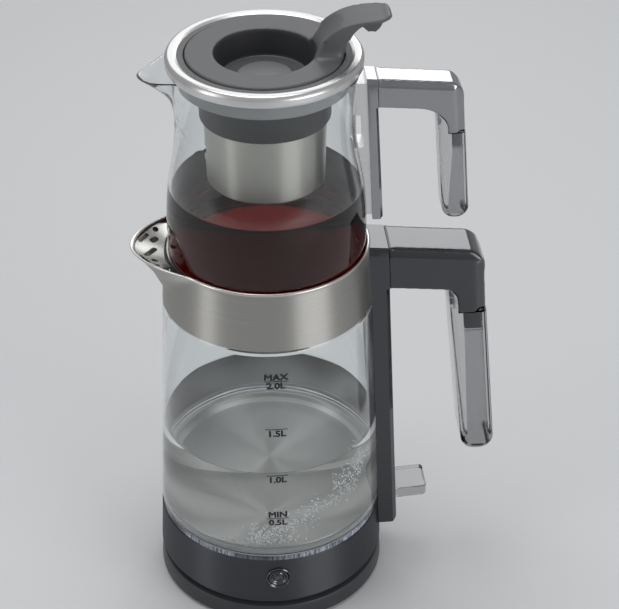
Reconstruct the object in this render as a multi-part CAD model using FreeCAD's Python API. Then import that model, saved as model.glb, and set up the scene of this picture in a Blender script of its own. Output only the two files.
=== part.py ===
import FreeCAD, Part
import math
import os

# Automatic tea maker: a two litre glass kettle on a power base, with a glass teapot on the kettle's mouth.
# Millimetres. Z is up, the origin is on the kettle's axis at the table, +X is the handle side,
# -X the spout side and -Y the front, with the button and the litre marks.

os.makedirs("parts", exist_ok=True)

V = FreeCAD.Vector
UP = V(0, 0, 1)

# ---- driving dimensions -------------------------------------------------------------------------

# power base
FOOT_H = 2.6
FOOT_R = 7.0
FOOT_RING_R = 60.0
BASE_TOP = 14.0
BASE_R = 75.4
BASE_WALL = 2.0
BASE_PAN_R = 60.0
BASE_PAN_Z = 11.6
PLATE_TOP = 4.8
SCREW_RING_R = 46.0
SCREW_R = 1.5
SCREW_HEAD_R = 3.0
SCREW_HEAD_H = 1.2
BOSS_R = 4.0
TOWER_R = 12.6
TOWER_TOP = 27.0
TOWER_SEAT_R = 16.8
CONTACT_Z0 = 19.0
CONTACT_Z1 = 25.0
CONTACT_T = 0.6
OUTER_CONTACT_R = 9.8
INNER_CONTACT_R = 6.4
CORE_R = 5.8
PIN_WELL_R = 1.9
PIN_WELL_Z = 17.0
GLAND_Z = 8.3
GLAND_R = 4.2
GLAND_LENGTH = 13.0
GLAND_FLANGE_R = 5.4
GLAND_NOSE = 3.0
CORD_BORE_R = 3.3

# kettle body: one cone from the heater housing to the collar
HOUSING_Z0 = 19.6
HOUSING_Z1 = 52.4
KETTLE_R0 = 75.0
KETTLE_SLOPE = 0.0415
STEEL = 1.2
GLASS_Z0 = 57.0
GLASS_WALL = 2.5
COLLAR_Z0 = 214.6
COLLAR_LIP_Z = 252.0
COLLAR_LIP_R = 64.3
LIP_TOP = 254.6
GLASS_NECK_R = 64.6
GLASS_NECK_TOP = 226.0
BOTTOM_Z = 16.0
BOTTOM_T = 2.0
SOCKET_BORE_R = 13.1
SOCKET_WALL = 3.4
SOCKET_ROOF = 29.0
SOCKET_FLANGE_R = 24.0
SOCKET_PIN_R = 1.4
PLATE_FLOOR_Z = 52.0
PLATE_RIM_R = 67.0
PLATE_RIM_TOP = 61.0
PLATE_T = 1.5
SPREADER_T = 2.5
ELEMENT_R = 44.0
ELEMENT_TUBE_R = 4.0
ELEMENT_ARC = 310
COLD_PIN_R = 1.6
CUTOUT_R = 12.0
BOARD_Y = -58.0
BOARD_T = 1.6
TACT_H = 3.4
PLUNGER_H = 0.8
RING_LIGHT_IN_R = 69.4
RING_LIGHT_TOP = 55.6
COLLAR_SHEET = 1.0
SEAT_Z = 243.0
SEAT_R = 62.2
SEAT_HOLE_R = 54.0
SEAT_TOP = 250.2
SEAL_T = 2.0
ARM_SCREW_Z = 232.0
ARM_SCREW_Y = 8.0
ARM_SCREW_HEAD_R = 3.2

# kettle spout: a parabola in plan, carried along the keel
SPOUT_FOCAL_R = 24.0
SPOUT_SHEET = 1.1
SPOUT_BACK_X = -42.0
SPOUT_KEEL = [(222.0, -63.5), (229.0, -68.2), (240.0, -73.6), (249.0, -80.6), (256.0, -88.2)]
DISH_R = 60.0
DISH_CENTRE = V(-58.0, 0, 306.0)
DISH_T = 0.8
DISH_HALF_W = 26.0
DISH_END_X = -85.0
# side of the spout, x, distance from its middle, length, width, turn in degrees
STRAINER_HOLES = [(1, -69.2, 21.0, 3.8, 3.8, 0), (-1, -69.2, 21.0, 3.8, 3.8, 0),
                  (1, -77.0, 12.2, 10.6, 2.8, 57), (-1, -77.0, 12.2, 10.6, 2.8, 57),
                  (1, -70.4, 12.4, 6.4, 4.2, 46), (1, -73.0, -1.0, 13.0, 3.8, 58),
                  (-1, -70.7, 11.6, 5.0, 3.4, 30)]

# button and switch lever
BUTTON_Z = 38.2
BUTTON_R = 6.5
BUTTON_TRAVEL = 1.5
BUTTON_DISH_R = 40.0
BUTTON_STEM_R = 2.5
BEZEL_R = 8.4
LEVER_PIVOT = V(78.0, 0, 52.8)
LEVER_ROOT_X = 86.0
LEVER_END_X = 105.5
LEVER_HALF_W = 12.0
LEVER_T = 8.2
LEVER_GAP = 0.4

# handles: the spine runs up the back, the arm reaches out and the grip hangs from the arm's end
KETTLE_HANDLE_W = 32.0
KETTLE_SPINE_Z0 = 31.0
KETTLE_SPINE_BEVEL = 2.5
KETTLE_ARM_TOP = 252.6
POT_HANDLE_W = 20.0
POT_SPINE_Z0 = 270.8
POT_SPINE_FRONT_X = 64.9
POT_SPINE_BEVEL = 1.6
POT_ARM_TOP = 367.4
POT_HEAD_X = 60.0
SADDLE_INSET = 3.0
SADDLE_STEP = 1.6
SADDLE_T = 3.1
SADDLE_GAP = (321.0, 343.0)

# teapot
POT_FLOOR = SEAT_Z + SEAL_T
POT_WALL = 2.2
POT_FLAT_R = 57.0
POT_FOOT_R = 61.5
POT_RIM_Z = 377.0
POT_BELLY = ((62.0, 268.0), (60.0, 299.0))
POT_WAIST = ((55.6, 324.0), (54.9, 352.0))
POT_RIM_R = 56.6
POT_LIP_FOCAL_R = 9.0
POT_LIP_BACK_X = -40.0
POT_LIP_KEEL = [(350.0, -53.0), (358.0, -58.0), (365.0, -66.5), (370.0, -74.0), (378.0, -84.6)]
POT_LIP_TIP = V(-77.4, 0, 371.6)

# lid: a plated ring with a seat, an infuser below it and a flap with a thumb lever
RING_OUT_R = 59.1
RING_IN_R = 51.6
RING_TOP = 384.2
SEAT_RING_IN_R = 47.8
LEDGE_R = 45.4
LEDGE_Z = 379.6
FLAP_R = 47.3
FLAP_T = 2.4
BOWL_R = 30.0
BOWL_FLOOR = 366.5
HINGE_X = 43.5
HINGE_Z = 387.0
HINGE_PIN_R = 1.5
HINGE_HUB_R = 3.0
LUG_HALF_W = 5.0
THUMB_HALF_W = 13.0
THUMB_END_X = 75.2
THUMB_TOP = 407.2
THUMB_ROUND_R = 11.0
THUMB_RIB_HALF_W = 2.6
VENT_R = 17.0
SKIRT_R = 51.8
SKIRT_WALL = 2.0
SKIRT_Z0 = 366.4
BASKET_R = 36.0
BASKET_TOP_R = 37.4
BASKET_Z0 = 300.0
BASKET_Z1 = 349.0
BASKET_T = 0.6
BASKET_HOLE_R = 2.5
BASKET_HOLE_STEP = 11.0
BASKET_HOLE_RINGS = 3

PIN_CLEARANCE = 0.05

# how far a cutting tool runs past what it cuts
REACH = 200.0
RUN_OUT = 12.0


# ---- small tools ----------------------------------------------------------------------------------

class Outline:
    """A closed outline in the XZ plane, drawn edge by edge, to be revolved or extruded."""

    def __init__(self, x, z):
        self.first = V(x, 0, z)
        self.at = self.first
        self.edges = []

    def line(self, x, z):
        end = V(x, 0, z)
        self.edges.append(Part.LineSegment(self.at, end).toShape())
        self.at = end
        return self

    def lines(self, *points):
        for x, z in points:
            self.line(x, z)
        return self

    def arc(self, via_x, via_z, x, z):
        end = V(x, 0, z)
        self.edges.append(Part.Arc(self.at, V(via_x, 0, via_z), end).toShape())
        self.at = end
        return self

    def curve(self, points):
        """A smooth curve from the present point through the given ones."""
        through = [self.at] + [V(x, 0, z) for x, z in points]
        spline = Part.BSplineCurve()
        spline.interpolate(through)
        self.edges.append(spline.toShape())
        self.at = through[-1]
        return self

    def face(self):
        if (self.at - self.first).Length > 1e-6:
            self.line(self.first.x, self.first.z)
        return Part.Face(Part.Wire(self.edges))

    def revolved(self, angle=360):
        return self.face().revolve(V(0, 0, 0), UP, angle)

    def extruded(self, half_width):
        face = self.face()
        face.translate(V(0, -half_width, 0))
        return face.extrude(V(0, 2 * half_width, 0))


def cylinder(radius, z0, z1, x=0, y=0):
    return Part.makeCylinder(radius, z1 - z0, V(x, y, z0), UP)


def tube(outer_r, inner_r, z0, z1):
    return cylinder(outer_r, z0, z1).cut(cylinder(inner_r, z0, z1))


def y_cylinder(radius, y0, y1, x, z):
    return Part.makeCylinder(radius, y1 - y0, V(x, y0, z), V(0, 1, 0))


def block(x0, x1, y0, y1, z0, z1):
    return Part.makeBox(x1 - x0, y1 - y0, z1 - z0, V(x0, y0, z0))


def around(shape, count, start=0.0):
    """Copies of a shape, evenly spaced about the Z axis."""
    copies = []
    for index in range(count):
        copy = shape.copy()
        copy.rotate(V(0, 0, 0), UP, start + 360.0 * index / count)
        copies.append(copy)
    return copies


def kettle_r(z):
    """The kettle's outer radius on its main cone."""
    return KETTLE_R0 - KETTLE_SLOPE * (z - HOUSING_Z0)


def collar_r(z):
    """The collar's outer radius: it tapers a little more than the glass."""
    low = kettle_r(COLLAR_Z0)
    share = (z - COLLAR_Z0) / (COLLAR_LIP_Z - COLLAR_Z0)
    return low + (COLLAR_LIP_R - low) * share


def beak(keel, focal_r, back_x, inset):
    """A solid beak: parabola sections whose noses follow the keel, from low to high."""
    sections = []
    for z, nose_x in keel:
        nose = nose_x + inset
        half = math.sqrt(2 * focal_r * (back_x - nose))
        parabola = Part.BezierCurve()
        parabola.setPoles([V(back_x, -half, z), V(2 * nose - back_x, 0, z), V(back_x, half, z)])
        back = Part.LineSegment(V(back_x, half, z), V(back_x, -half, z)).toShape()
        sections.append(Part.Wire([parabola.toShape(), back]))
    return Part.makeLoft(sections, True, False)


def corner_cut(start, end, half_width, across, down, before=RUN_OUT):
    """Two prisms that bevel both long edges of a bar between two points in the XZ plane.

    The bevel takes `across` off the width and `down` off the height, which is at the left hand
    of the way from end to start. The prisms begin `before` ahead of the start.
    """
    along = (end - start).normalize()
    inward = V(along.z, 0, -along.x)
    tools = []
    for side in (-1, 1):
        corner = start - along * before + V(0, side * half_width, 0)
        top = corner - V(0, side * across, 0)
        low = corner + inward * down
        slope = (low - top).normalize()
        outer = corner + (V(0, side, 0) - inward) * RUN_OUT
        points = [top - slope * RUN_OUT / 2, low + slope * RUN_OUT / 2, outer]
        prism = Part.Face(Part.makePolygon(points + points[:1]))
        length = before + (end - start).Length + RUN_OUT
        tools.append(prism.extrude(along * length))
    return tools


def export(name, shape):
    shape.removeSplitter().exportStep("parts/" + name + ".step")


# ---- power base -------------------------------------------------------------------------------------

def base_parts():
    """The base's cover, floor plate, feet, screws, round connector and cord gland."""
    pan_under = BASE_PAN_Z - 2.2
    cover = Outline(BASE_R - BASE_WALL, FOOT_H)
    cover.lines((BASE_R, FOOT_H), (BASE_R - 0.6, BASE_TOP - 2.4), (BASE_R - 1.4, BASE_TOP - 0.8),
                (BASE_R - 3.2, BASE_TOP), (BASE_PAN_R + 1.2, BASE_TOP), (BASE_PAN_R - 0.4, BASE_PAN_Z),
                (TOWER_SEAT_R + 0.4, BASE_PAN_Z), (TOWER_SEAT_R + 0.4, pan_under),
                (BASE_PAN_R - 1.4, pan_under), (BASE_PAN_R, BASE_TOP - 2.2),
                (BASE_R - 4.4, BASE_TOP - 2.2), (BASE_R - 2.8, BASE_TOP - 4.0))
    boss = cylinder(BOSS_R, PLATE_TOP, pan_under + 0.2, SCREW_RING_R)
    boss_hole = cylinder(SCREW_R, PLATE_TOP, pan_under + 0.8, SCREW_RING_R)
    gland_y = BASE_R + 1.0 - GLAND_LENGTH
    gland_hole = y_cylinder(GLAND_R, gland_y, REACH, 0, GLAND_Z)
    shell = cover.revolved().fuse(around(boss, 3, 30)).cut(around(boss_hole, 3, 30)).cut(gland_hole)

    floor_r = BASE_R - BASE_WALL - 0.5
    floor = Outline(0, FOOT_H)
    floor.lines((floor_r, FOOT_H), (floor_r, PLATE_TOP), (0, PLATE_TOP))
    foot_top = FOOT_H + 0.4
    foot_seat = cylinder(FOOT_R, FOOT_H, foot_top, FOOT_RING_R)
    screw_hole = cylinder(SCREW_R + 0.2, FOOT_H, PLATE_TOP, SCREW_RING_R)
    head_top = FOOT_H + 0.1 + SCREW_HEAD_H
    counterbore = cylinder(SCREW_HEAD_R + 0.2, FOOT_H, head_top, SCREW_RING_R)
    plate = floor.revolved().cut(around(foot_seat, 4, 45)).cut(around(screw_hole, 3, 30))
    plate = plate.cut(around(counterbore, 3, 30)).cut(gland_hole)

    pad = Outline(0, 0)
    pad.lines((FOOT_R - 0.8, 0), (FOOT_R, 0.8), (FOOT_R, foot_top), (0, foot_top))
    foot = pad.revolved()
    foot.translate(V(FOOT_RING_R, 0, 0))

    screw = cylinder(SCREW_HEAD_R, FOOT_H + 0.1, head_top, SCREW_RING_R)
    screw = screw.fuse(cylinder(SCREW_R, head_top, pan_under, SCREW_RING_R))

    tower = Outline(0, PLATE_TOP)
    tower.lines((TOWER_SEAT_R, PLATE_TOP), (TOWER_SEAT_R, BASE_PAN_Z), (TOWER_SEAT_R + 2.8, BASE_PAN_Z),
                (TOWER_SEAT_R + 2.2, BASE_PAN_Z + 1.4), (TOWER_R + 0.8, BASE_PAN_Z + 1.4),
                (TOWER_R, BASE_PAN_Z + 2.4), (TOWER_R, TOWER_TOP - 1.2), (TOWER_R - 1.2, TOWER_TOP),
                (OUTER_CONTACT_R, TOWER_TOP), (OUTER_CONTACT_R, CONTACT_Z0), (INNER_CONTACT_R, CONTACT_Z0),
                (INNER_CONTACT_R, TOWER_TOP - 0.6), (CORE_R, TOWER_TOP), (PIN_WELL_R, TOWER_TOP),
                (PIN_WELL_R, PIN_WELL_Z), (0, PIN_WELL_Z))

    outer_ring = tube(OUTER_CONTACT_R, OUTER_CONTACT_R - CONTACT_T, CONTACT_Z0, CONTACT_Z1)
    inner_ring = tube(INNER_CONTACT_R + CONTACT_T, INNER_CONTACT_R, CONTACT_Z0, CONTACT_Z1)

    gland = y_cylinder(GLAND_R, gland_y, BASE_R + 1.0, 0, GLAND_Z)
    nose_y = BASE_R + 2.2
    flange = y_cylinder(GLAND_FLANGE_R, BASE_R + 0.1, nose_y, 0, GLAND_Z)
    nose = Part.makeCone(GLAND_R + 0.4, GLAND_R - 0.2, GLAND_NOSE, V(0, nose_y, GLAND_Z), V(0, 1, 0))
    cord_bore = y_cylinder(CORD_BORE_R, gland_y, nose_y + GLAND_NOSE, 0, GLAND_Z)

    export("base_cover", shell)
    export("base_floor", plate)
    export("rubber_feet", Part.makeCompound(around(foot, 4, 45)))
    export("base_screws", Part.makeCompound(around(screw, 3, 30)))
    export("base_connector", tower.revolved())
    export("contact_rings", Part.makeCompound([outer_ring, inner_ring]))
    export("cord_gland", gland.fuse([flange, nose]).cut(cord_bore))


# ---- kettle -------------------------------------------------------------------------------------------

def heater_parts():
    """The kettle's foot: bottom cover, steel housing, connector socket, heater and electronics."""
    hole_r = SOCKET_BORE_R + SOCKET_WALL + 1.8
    bottom_top = BOTTOM_Z + BOTTOM_T
    bottom = Outline(hole_r, BOTTOM_Z)
    bottom.lines((60.4, BOTTOM_Z), (62.0, BASE_TOP), (70.4, BASE_TOP), (72.0, 15.4), (72.9, 16.8),
                 (72.9, 17.6), (72.0, 17.9), (72.0, 19.3), (73.4, 19.8), (73.4, 25.0), (71.6, 25.0),
                 (71.6, 20.4), (61.4, bottom_top), (hole_r, bottom_top))

    top_r = kettle_r(HOUSING_Z1)
    housing = Outline(kettle_r(HOUSING_Z0) - STEEL, HOUSING_Z0)
    housing.lines((kettle_r(HOUSING_Z0), HOUSING_Z0), (top_r - 0.1, HOUSING_Z1 - 0.8),
                  (top_r - 0.9, HOUSING_Z1), (69.0, HOUSING_Z1), (69.0, HOUSING_Z1 - STEEL),
                  (top_r - STEEL - 0.9, HOUSING_Z1 - STEEL), (top_r - STEEL, HOUSING_Z1 - 2.2))
    button_hole = y_cylinder(BEZEL_R - 0.5, -REACH, 0, 0, BUTTON_Z)

    pin = Outline(0, SOCKET_ROOF)
    pin.lines((SOCKET_PIN_R, SOCKET_ROOF), (SOCKET_PIN_R, PIN_WELL_Z + 1.6), (0, PIN_WELL_Z + 0.8))
    cup_r = SOCKET_BORE_R + SOCKET_WALL
    cup = Outline(SOCKET_BORE_R, BOTTOM_Z - 1.0)
    cup.lines((cup_r, BOTTOM_Z - 1.0), (cup_r, bottom_top), (SOCKET_FLANGE_R, bottom_top),
              (SOCKET_FLANGE_R, bottom_top + 2.0), (cup_r, bottom_top + 2.0), (cup_r, SOCKET_ROOF + 2.4),
              (0, SOCKET_ROOF + 2.4), (0, SOCKET_ROOF), (SOCKET_BORE_R, SOCKET_ROOF))

    rim = PLATE_RIM_R
    plate_under = PLATE_FLOOR_Z - PLATE_T
    floor = Outline(0, plate_under)
    floor.lines((rim - 3.6, plate_under), (rim, PLATE_FLOOR_Z + 2.4), (rim, PLATE_RIM_TOP),
                (rim - 1.2, PLATE_RIM_TOP), (rim - 1.2, PLATE_FLOOR_Z + 3.0), (rim - 4.2, PLATE_FLOOR_Z),
                (0, PLATE_FLOOR_Z))

    under = plate_under - SPREADER_T
    spreader = cylinder(ELEMENT_R + 2 * ELEMENT_TUBE_R, under, plate_under)
    half = ELEMENT_TUBE_R
    sheath = Outline(ELEMENT_R - half, under)
    sheath.lines((ELEMENT_R - half, under - half), (ELEMENT_R - half / 2, under - half * 1.6),
                 (ELEMENT_R + half / 2, under - half * 1.6), (ELEMENT_R + half, under - half),
                 (ELEMENT_R + half, under))
    loop = sheath.revolved(ELEMENT_ARC)
    loop.rotate(V(0, 0, 0), UP, (360 - ELEMENT_ARC) / 2)
    element = spreader.fuse(loop)
    for side in (-1, 1):
        turn = math.radians(side * ((360 - ELEMENT_ARC) / 2 + 3))
        pin_x = ELEMENT_R * math.cos(turn)
        pin_y = ELEMENT_R * math.sin(turn)
        element = element.fuse(cylinder(COLD_PIN_R, under - 13.0, under, pin_x, pin_y))

    cutout = cylinder(CUTOUT_R - 3.5, under - 7.0, under).fuse(cylinder(CUTOUT_R, under - 2.4, under))

    tact_half = 6.0
    tact_y = BOARD_Y - TACT_H
    board_back = BOARD_Y + BOARD_T
    board = block(-24, 24, BOARD_Y, board_back, 25.5, 46.5)
    tact = block(-tact_half, tact_half, tact_y, BOARD_Y, BUTTON_Z - tact_half, BUTTON_Z + tact_half)
    plunger = y_cylinder(1.7, tact_y - PLUNGER_H, tact_y, 0, BUTTON_Z)
    relay = block(10, 22, board_back, board_back + 7.9, 27.0, 43.0)
    board = board.fuse([tact, plunger, relay])

    export("kettle_bottom", bottom.revolved())
    export("heater_housing", housing.revolved().cut(button_hole))
    export("kettle_socket", cup.revolved().fuse(pin.revolved()))
    export("heating_plate", floor.revolved())
    export("heating_element", element)
    export("thermal_cutout", cutout)
    export("control_board", board)


def glass_parts():
    """The light ring, gasket, glass wall and steel collar with its seat for the teapot."""
    top = RING_LIGHT_TOP
    light = Outline(RING_LIGHT_IN_R, HOUSING_Z1)
    light.lines((72.9, HOUSING_Z1), (73.0, top - 0.4), (72.6, top), (RING_LIGHT_IN_R, top))

    gasket_top = PLATE_RIM_TOP - 1.0
    gasket_in = kettle_r(gasket_top) - GLASS_WALL
    gasket = Outline(PLATE_RIM_R, top)
    gasket.lines((72.6, top), (72.9, top + 0.4), (72.9, GLASS_Z0), (gasket_in, GLASS_Z0),
                 (gasket_in, gasket_top), (PLATE_RIM_R, gasket_top))

    shoulder = COLLAR_Z0 - 2.0
    neck_in = GLASS_NECK_R - GLASS_WALL
    glass = Outline(kettle_r(GLASS_Z0) - GLASS_WALL, GLASS_Z0)
    glass.lines((kettle_r(GLASS_Z0), GLASS_Z0), (kettle_r(shoulder), shoulder),
                (GLASS_NECK_R, shoulder + 3.4), (GLASS_NECK_R, GLASS_NECK_TOP), (neck_in, GLASS_NECK_TOP),
                (neck_in, shoulder + 2.0), (kettle_r(shoulder - 2.0) - GLASS_WALL, shoulder - 2.0))

    lip_in = COLLAR_LIP_R - 2.1
    collar = Outline(collar_r(COLLAR_Z0) - COLLAR_SHEET, COLLAR_Z0)
    collar.line(collar_r(COLLAR_Z0), COLLAR_Z0)
    collar.line(COLLAR_LIP_R, COLLAR_LIP_Z)
    collar.lines((COLLAR_LIP_R - 0.4, LIP_TOP - 0.7), (COLLAR_LIP_R - 1.3, LIP_TOP), (lip_in, LIP_TOP - 0.8),
                 (lip_in, COLLAR_LIP_Z + 0.2), (COLLAR_LIP_R - COLLAR_SHEET, COLLAR_LIP_Z - 1.4))

    inner_r = SEAT_R - 0.3
    shelf = Outline(SEAT_HOLE_R, SEAT_Z - COLLAR_SHEET)
    shelf.lines((SEAT_R - 0.4, SEAT_Z - COLLAR_SHEET), (SEAT_R + 0.7, SEAT_Z), (SEAT_R + 0.7, SEAT_TOP),
                (inner_r, SEAT_TOP), (inner_r, SEAT_Z), (SEAT_HOLE_R, SEAT_Z))

    seal_in = SEAT_HOLE_R + 0.4
    seal = Outline(seal_in, SEAT_Z)
    seal.lines((inner_r, SEAT_Z), (inner_r, SEAT_Z + 1.2), (SEAT_R - 2.2, POT_FLOOR), (seal_in, POT_FLOOR))

    screws = []
    holes = []
    for side in (-1, 1):
        y = side * ARM_SCREW_Y
        wall_r = collar_r(ARM_SCREW_Z + ARM_SCREW_HEAD_R) - COLLAR_SHEET
        wall_x = math.sqrt(wall_r ** 2 - (ARM_SCREW_Y + ARM_SCREW_HEAD_R) ** 2)
        head = Part.makeCylinder(ARM_SCREW_HEAD_R, 1.6, V(wall_x - 1.6, y, ARM_SCREW_Z), V(1, 0, 0))
        shank = Part.makeCylinder(SCREW_R, 9.6, V(wall_x, y, ARM_SCREW_Z), V(1, 0, 0))
        screws.append(head.fuse(shank))
        holes.append(shank)

    spout_hole = beak(SPOUT_KEEL, SPOUT_FOCAL_R, SPOUT_BACK_X, SPOUT_SHEET)
    export("light_ring", light.revolved())
    export("glass_gasket", gasket.revolved())
    export("kettle_glass", glass.revolved())
    export("kettle_collar", collar.revolved().cut(spout_hole).cut(holes))
    export("pot_seat", shelf.revolved())
    export("mouth_seal", seal.revolved())
    export("handle_screws", Part.makeCompound(screws))
    return holes


def spout_parts():
    """The steel beak on the collar and the dished strainer sheet that lies in it."""
    outer = beak(SPOUT_KEEL, SPOUT_FOCAL_R, SPOUT_BACK_X, 0)
    inner = beak(SPOUT_KEEL, SPOUT_FOCAL_R, SPOUT_BACK_X, SPOUT_SHEET)
    drum = Outline(0, COLLAR_Z0)
    drum.lines((collar_r(COLLAR_Z0), COLLAR_Z0), (COLLAR_LIP_R, COLLAR_LIP_Z), (COLLAR_LIP_R, 2 * REACH),
               (0, 2 * REACH))
    core = drum.revolved()
    rim_top = block(-REACH, 0, -REACH, REACH, LIP_TOP, 2 * REACH)
    spout = outer.cut(inner).cut(core).cut(rim_top)

    dish = Part.makeSphere(DISH_R, DISH_CENTRE).cut(Part.makeSphere(DISH_R - DISH_T, DISH_CENTRE))
    room = beak(SPOUT_KEEL, SPOUT_FOCAL_R, SPOUT_BACK_X, SPOUT_SHEET + 0.15)
    below_lip = block(DISH_END_X, SPOUT_BACK_X, -DISH_HALF_W, DISH_HALF_W, COLLAR_Z0, LIP_TOP - 1.6)
    sheet = dish.common(room).common(below_lip).cut(core)
    for side, x, y, length, width, turn in STRAINER_HOLES:
        sheet = sheet.cut(strainer_hole(x, side * y, length, width, side * turn))
    export("kettle_spout", spout)
    export("spout_strainer", sheet)


def strainer_hole(x, y, length, width, turn):
    """A slot with round ends, or a round hole where its length is its width, as a tall cutter."""
    half = (length - width) / 2
    slot = cylinder(width / 2, COLLAR_Z0, LIP_TOP, half)
    if half > 0:
        slot = slot.fuse(cylinder(width / 2, COLLAR_Z0, LIP_TOP, -half))
        slot = slot.fuse(block(-half, half, -width / 2, width / 2, COLLAR_Z0, LIP_TOP))
    slot.rotate(V(0, 0, 0), UP, turn)
    slot.translate(V(x, y, 0))
    return slot


def button_parts():
    """The round button in its plated bezel, square to the housing's front."""
    face_y = -(kettle_r(BUTTON_Z) + 0.3)
    flange = y_cylinder(BEZEL_R, face_y - 0.9, face_y + 0.9, 0, BUTTON_Z).cut(kettle_core())
    bezel = flange.fuse(y_cylinder(BEZEL_R - 0.6, face_y, face_y + 7.5, 0, BUTTON_Z))
    throat = y_cylinder(BUTTON_R + 0.2, face_y - 2, face_y + 9, 0, BUTTON_Z)
    flare = Part.makeCone(BUTTON_R + 1.2, BUTTON_R + 0.2, 1.0, V(0, face_y - 0.9, BUTTON_Z), V(0, 1, 0))
    lip = Part.makeCone(BEZEL_R - 0.7, BEZEL_R, 0.7, V(0, face_y - 0.9, BUTTON_Z), V(0, 1, 0))
    keep = lip.fuse(y_cylinder(BEZEL_R, face_y - 0.2, face_y + 9, 0, BUTTON_Z))
    bezel = bezel.common(keep).cut([throat, flare])

    cap = y_cylinder(BUTTON_R, face_y - 0.5, face_y + 4.5, 0, BUTTON_Z)
    dish = Part.makeSphere(BUTTON_DISH_R, V(0, face_y + 0.2 - BUTTON_DISH_R, BUTTON_Z))
    stem_end = BOARD_Y - TACT_H - PLUNGER_H - 0.1 - BUTTON_TRAVEL
    stem = y_cylinder(BUTTON_STEM_R, face_y + 4.0, stem_end, 0, BUTTON_Z)
    export("button_bezel", bezel)
    export("power_button", cap.cut(dish).fuse(stem))


def kettle_core():
    """The kettle's outer form as one solid, which the handle's spine is fitted to."""
    core = Outline(0, 0)
    core.lines((kettle_r(HOUSING_Z0), 0), (kettle_r(HOUSING_Z0), HOUSING_Z0),
               (kettle_r(COLLAR_Z0), COLLAR_Z0), (COLLAR_LIP_R, COLLAR_LIP_Z), (COLLAR_LIP_R, 300), (0, 300))
    return core.revolved()


def side_edges(shape, half_width, below):
    """The edges round a bar's two flat sides, up to a height."""
    found = []
    for edge in shape.Edges:
        ends = [vertex.Point for vertex in edge.Vertexes]
        on_side = all(abs(abs(end.y) - half_width) < 1e-4 for end in ends)
        if on_side and ends[0].y * ends[-1].y > 0 and min(end.z for end in ends) < below:
            found.append(edge)
    return found


class Handle:
    """A handle's arm, which bends down into a leg, and the clear grip on the leg's tenon.

    Points are (x, z). The arm starts at the seam on the spine's head and falls gently to the
    shoulder. Under it the grip rises beside the leg as far as the arm's underside.
    """

    def __init__(self, half, seam, under, knee, leg, side, shoulder, bevel, leg_bevel, grip, rounding):
        self.half = half
        self.seam_low, self.seam_top = seam
        self.under, self.under_end = under
        self.knee_via, self.knee = knee
        self.leg_in, self.leg_out = leg
        self.side, self.side_via = side
        self.shoulder = shoulder
        self.bevel = bevel
        self.leg_bevel = leg_bevel
        self.grip_top, self.grip_in, self.grip_out = grip
        self.grip_round, self.edge_round, self.wall, self.tenon = rounding

    def arm(self):
        line = Outline(*self.seam_low)
        line.line(*self.under)
        line.arc(*self.under_end, *self.knee_via)
        line.lines(self.knee, self.leg_in, self.leg_out, self.side)
        line.arc(*self.side_via, *self.shoulder)
        line.line(*self.seam_top)
        bar = line.extruded(self.half)
        seam_top = V(self.seam_top[0], 0, self.seam_top[1])
        shoulder = V(self.shoulder[0], 0, self.shoulder[1])
        side = V(self.side[0], 0, self.side[1])
        leg_out = V(self.leg_out[0], 0, self.leg_out[1])
        bar = bar.cut(corner_cut(seam_top, shoulder, self.half, *self.bevel))
        bar = bar.cut(corner_cut(side, leg_out, self.half, *self.leg_bevel))
        return bar.fuse(self.tenon_solid(0.0))

    def tenon_solid(self, gap):
        """The leg's tenon, or with a gap the room for it in the grip."""
        inset = self.wall - gap
        low = self.leg_in[1] - self.tenon
        lean = self.lean() * self.tenon
        tenon = Outline(self.leg_in[0] + inset, self.leg_in[1])
        tenon.lines((self.leg_out[0] - inset, self.leg_in[1]), (self.leg_out[0] - inset + lean, low - gap),
                    (self.leg_in[0] + inset + lean, low - gap))
        return tenon.extruded(self.half - self.wall - 1.5 + gap)

    def lean(self):
        """How far the grip leans out per millimetre down."""
        return (self.grip_out[0] - self.leg_out[0]) / (self.leg_out[1] - self.grip_out[1])

    def grip(self):
        half = self.half - 0.4
        top = self.grip_top[1] + 8.0
        reach = self.leg_out[1] - top
        line = Outline(self.grip_top[0], top)
        line.lines(self.grip_in, self.grip_out, (self.leg_out[0] + reach * self.lean(), top))
        bar = line.extruded(half)
        corners = [edge for edge in bar.Edges if self.is_low_corner(edge)]
        bar = bar.makeFillet(self.grip_round, corners)
        bar = bar.makeFillet(self.edge_round, side_edges(bar, half, top - 1.0))
        room = Outline(self.under[0], top + 9.0)
        room.line(*self.under)
        room.arc(*self.under_end, *self.knee_via)
        room.lines(self.knee, self.leg_in, (self.leg_out[0] + 9.0, self.leg_in[1]),
                   (self.leg_out[0] + 9.0, top + 9.0))
        bar = bar.cut(room.extruded(self.half + 5.0))
        return bar.cut([self.tenon_solid(0.1), self.cavity(half)])

    def is_low_corner(self, edge):
        ends = [vertex.Point for vertex in edge.Vertexes]
        across = abs(ends[0].y - ends[-1].y) > self.half
        return across and max(end.z for end in ends) < self.grip_in[1] + 1.0

    def cavity(self, half):
        """The hollow inside the clear grip, which stops above a solid end."""
        wall = self.wall
        floor = self.grip_in[1] + wall
        drop = self.leg_out[1] - self.tenon - floor
        lean = self.lean()
        top_in = self.leg_in[0] + wall + lean * self.tenon
        top_out = self.leg_out[0] - wall + lean * self.tenon
        low_in = self.grip_in[0] + wall * 1.2
        low_out = top_out + lean * drop
        line = Outline(top_in, self.leg_in[1] - self.tenon)
        line.lines((low_in, floor), (low_out, floor), (top_out, self.leg_in[1] - self.tenon))
        return line.extruded(half - wall)


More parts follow.
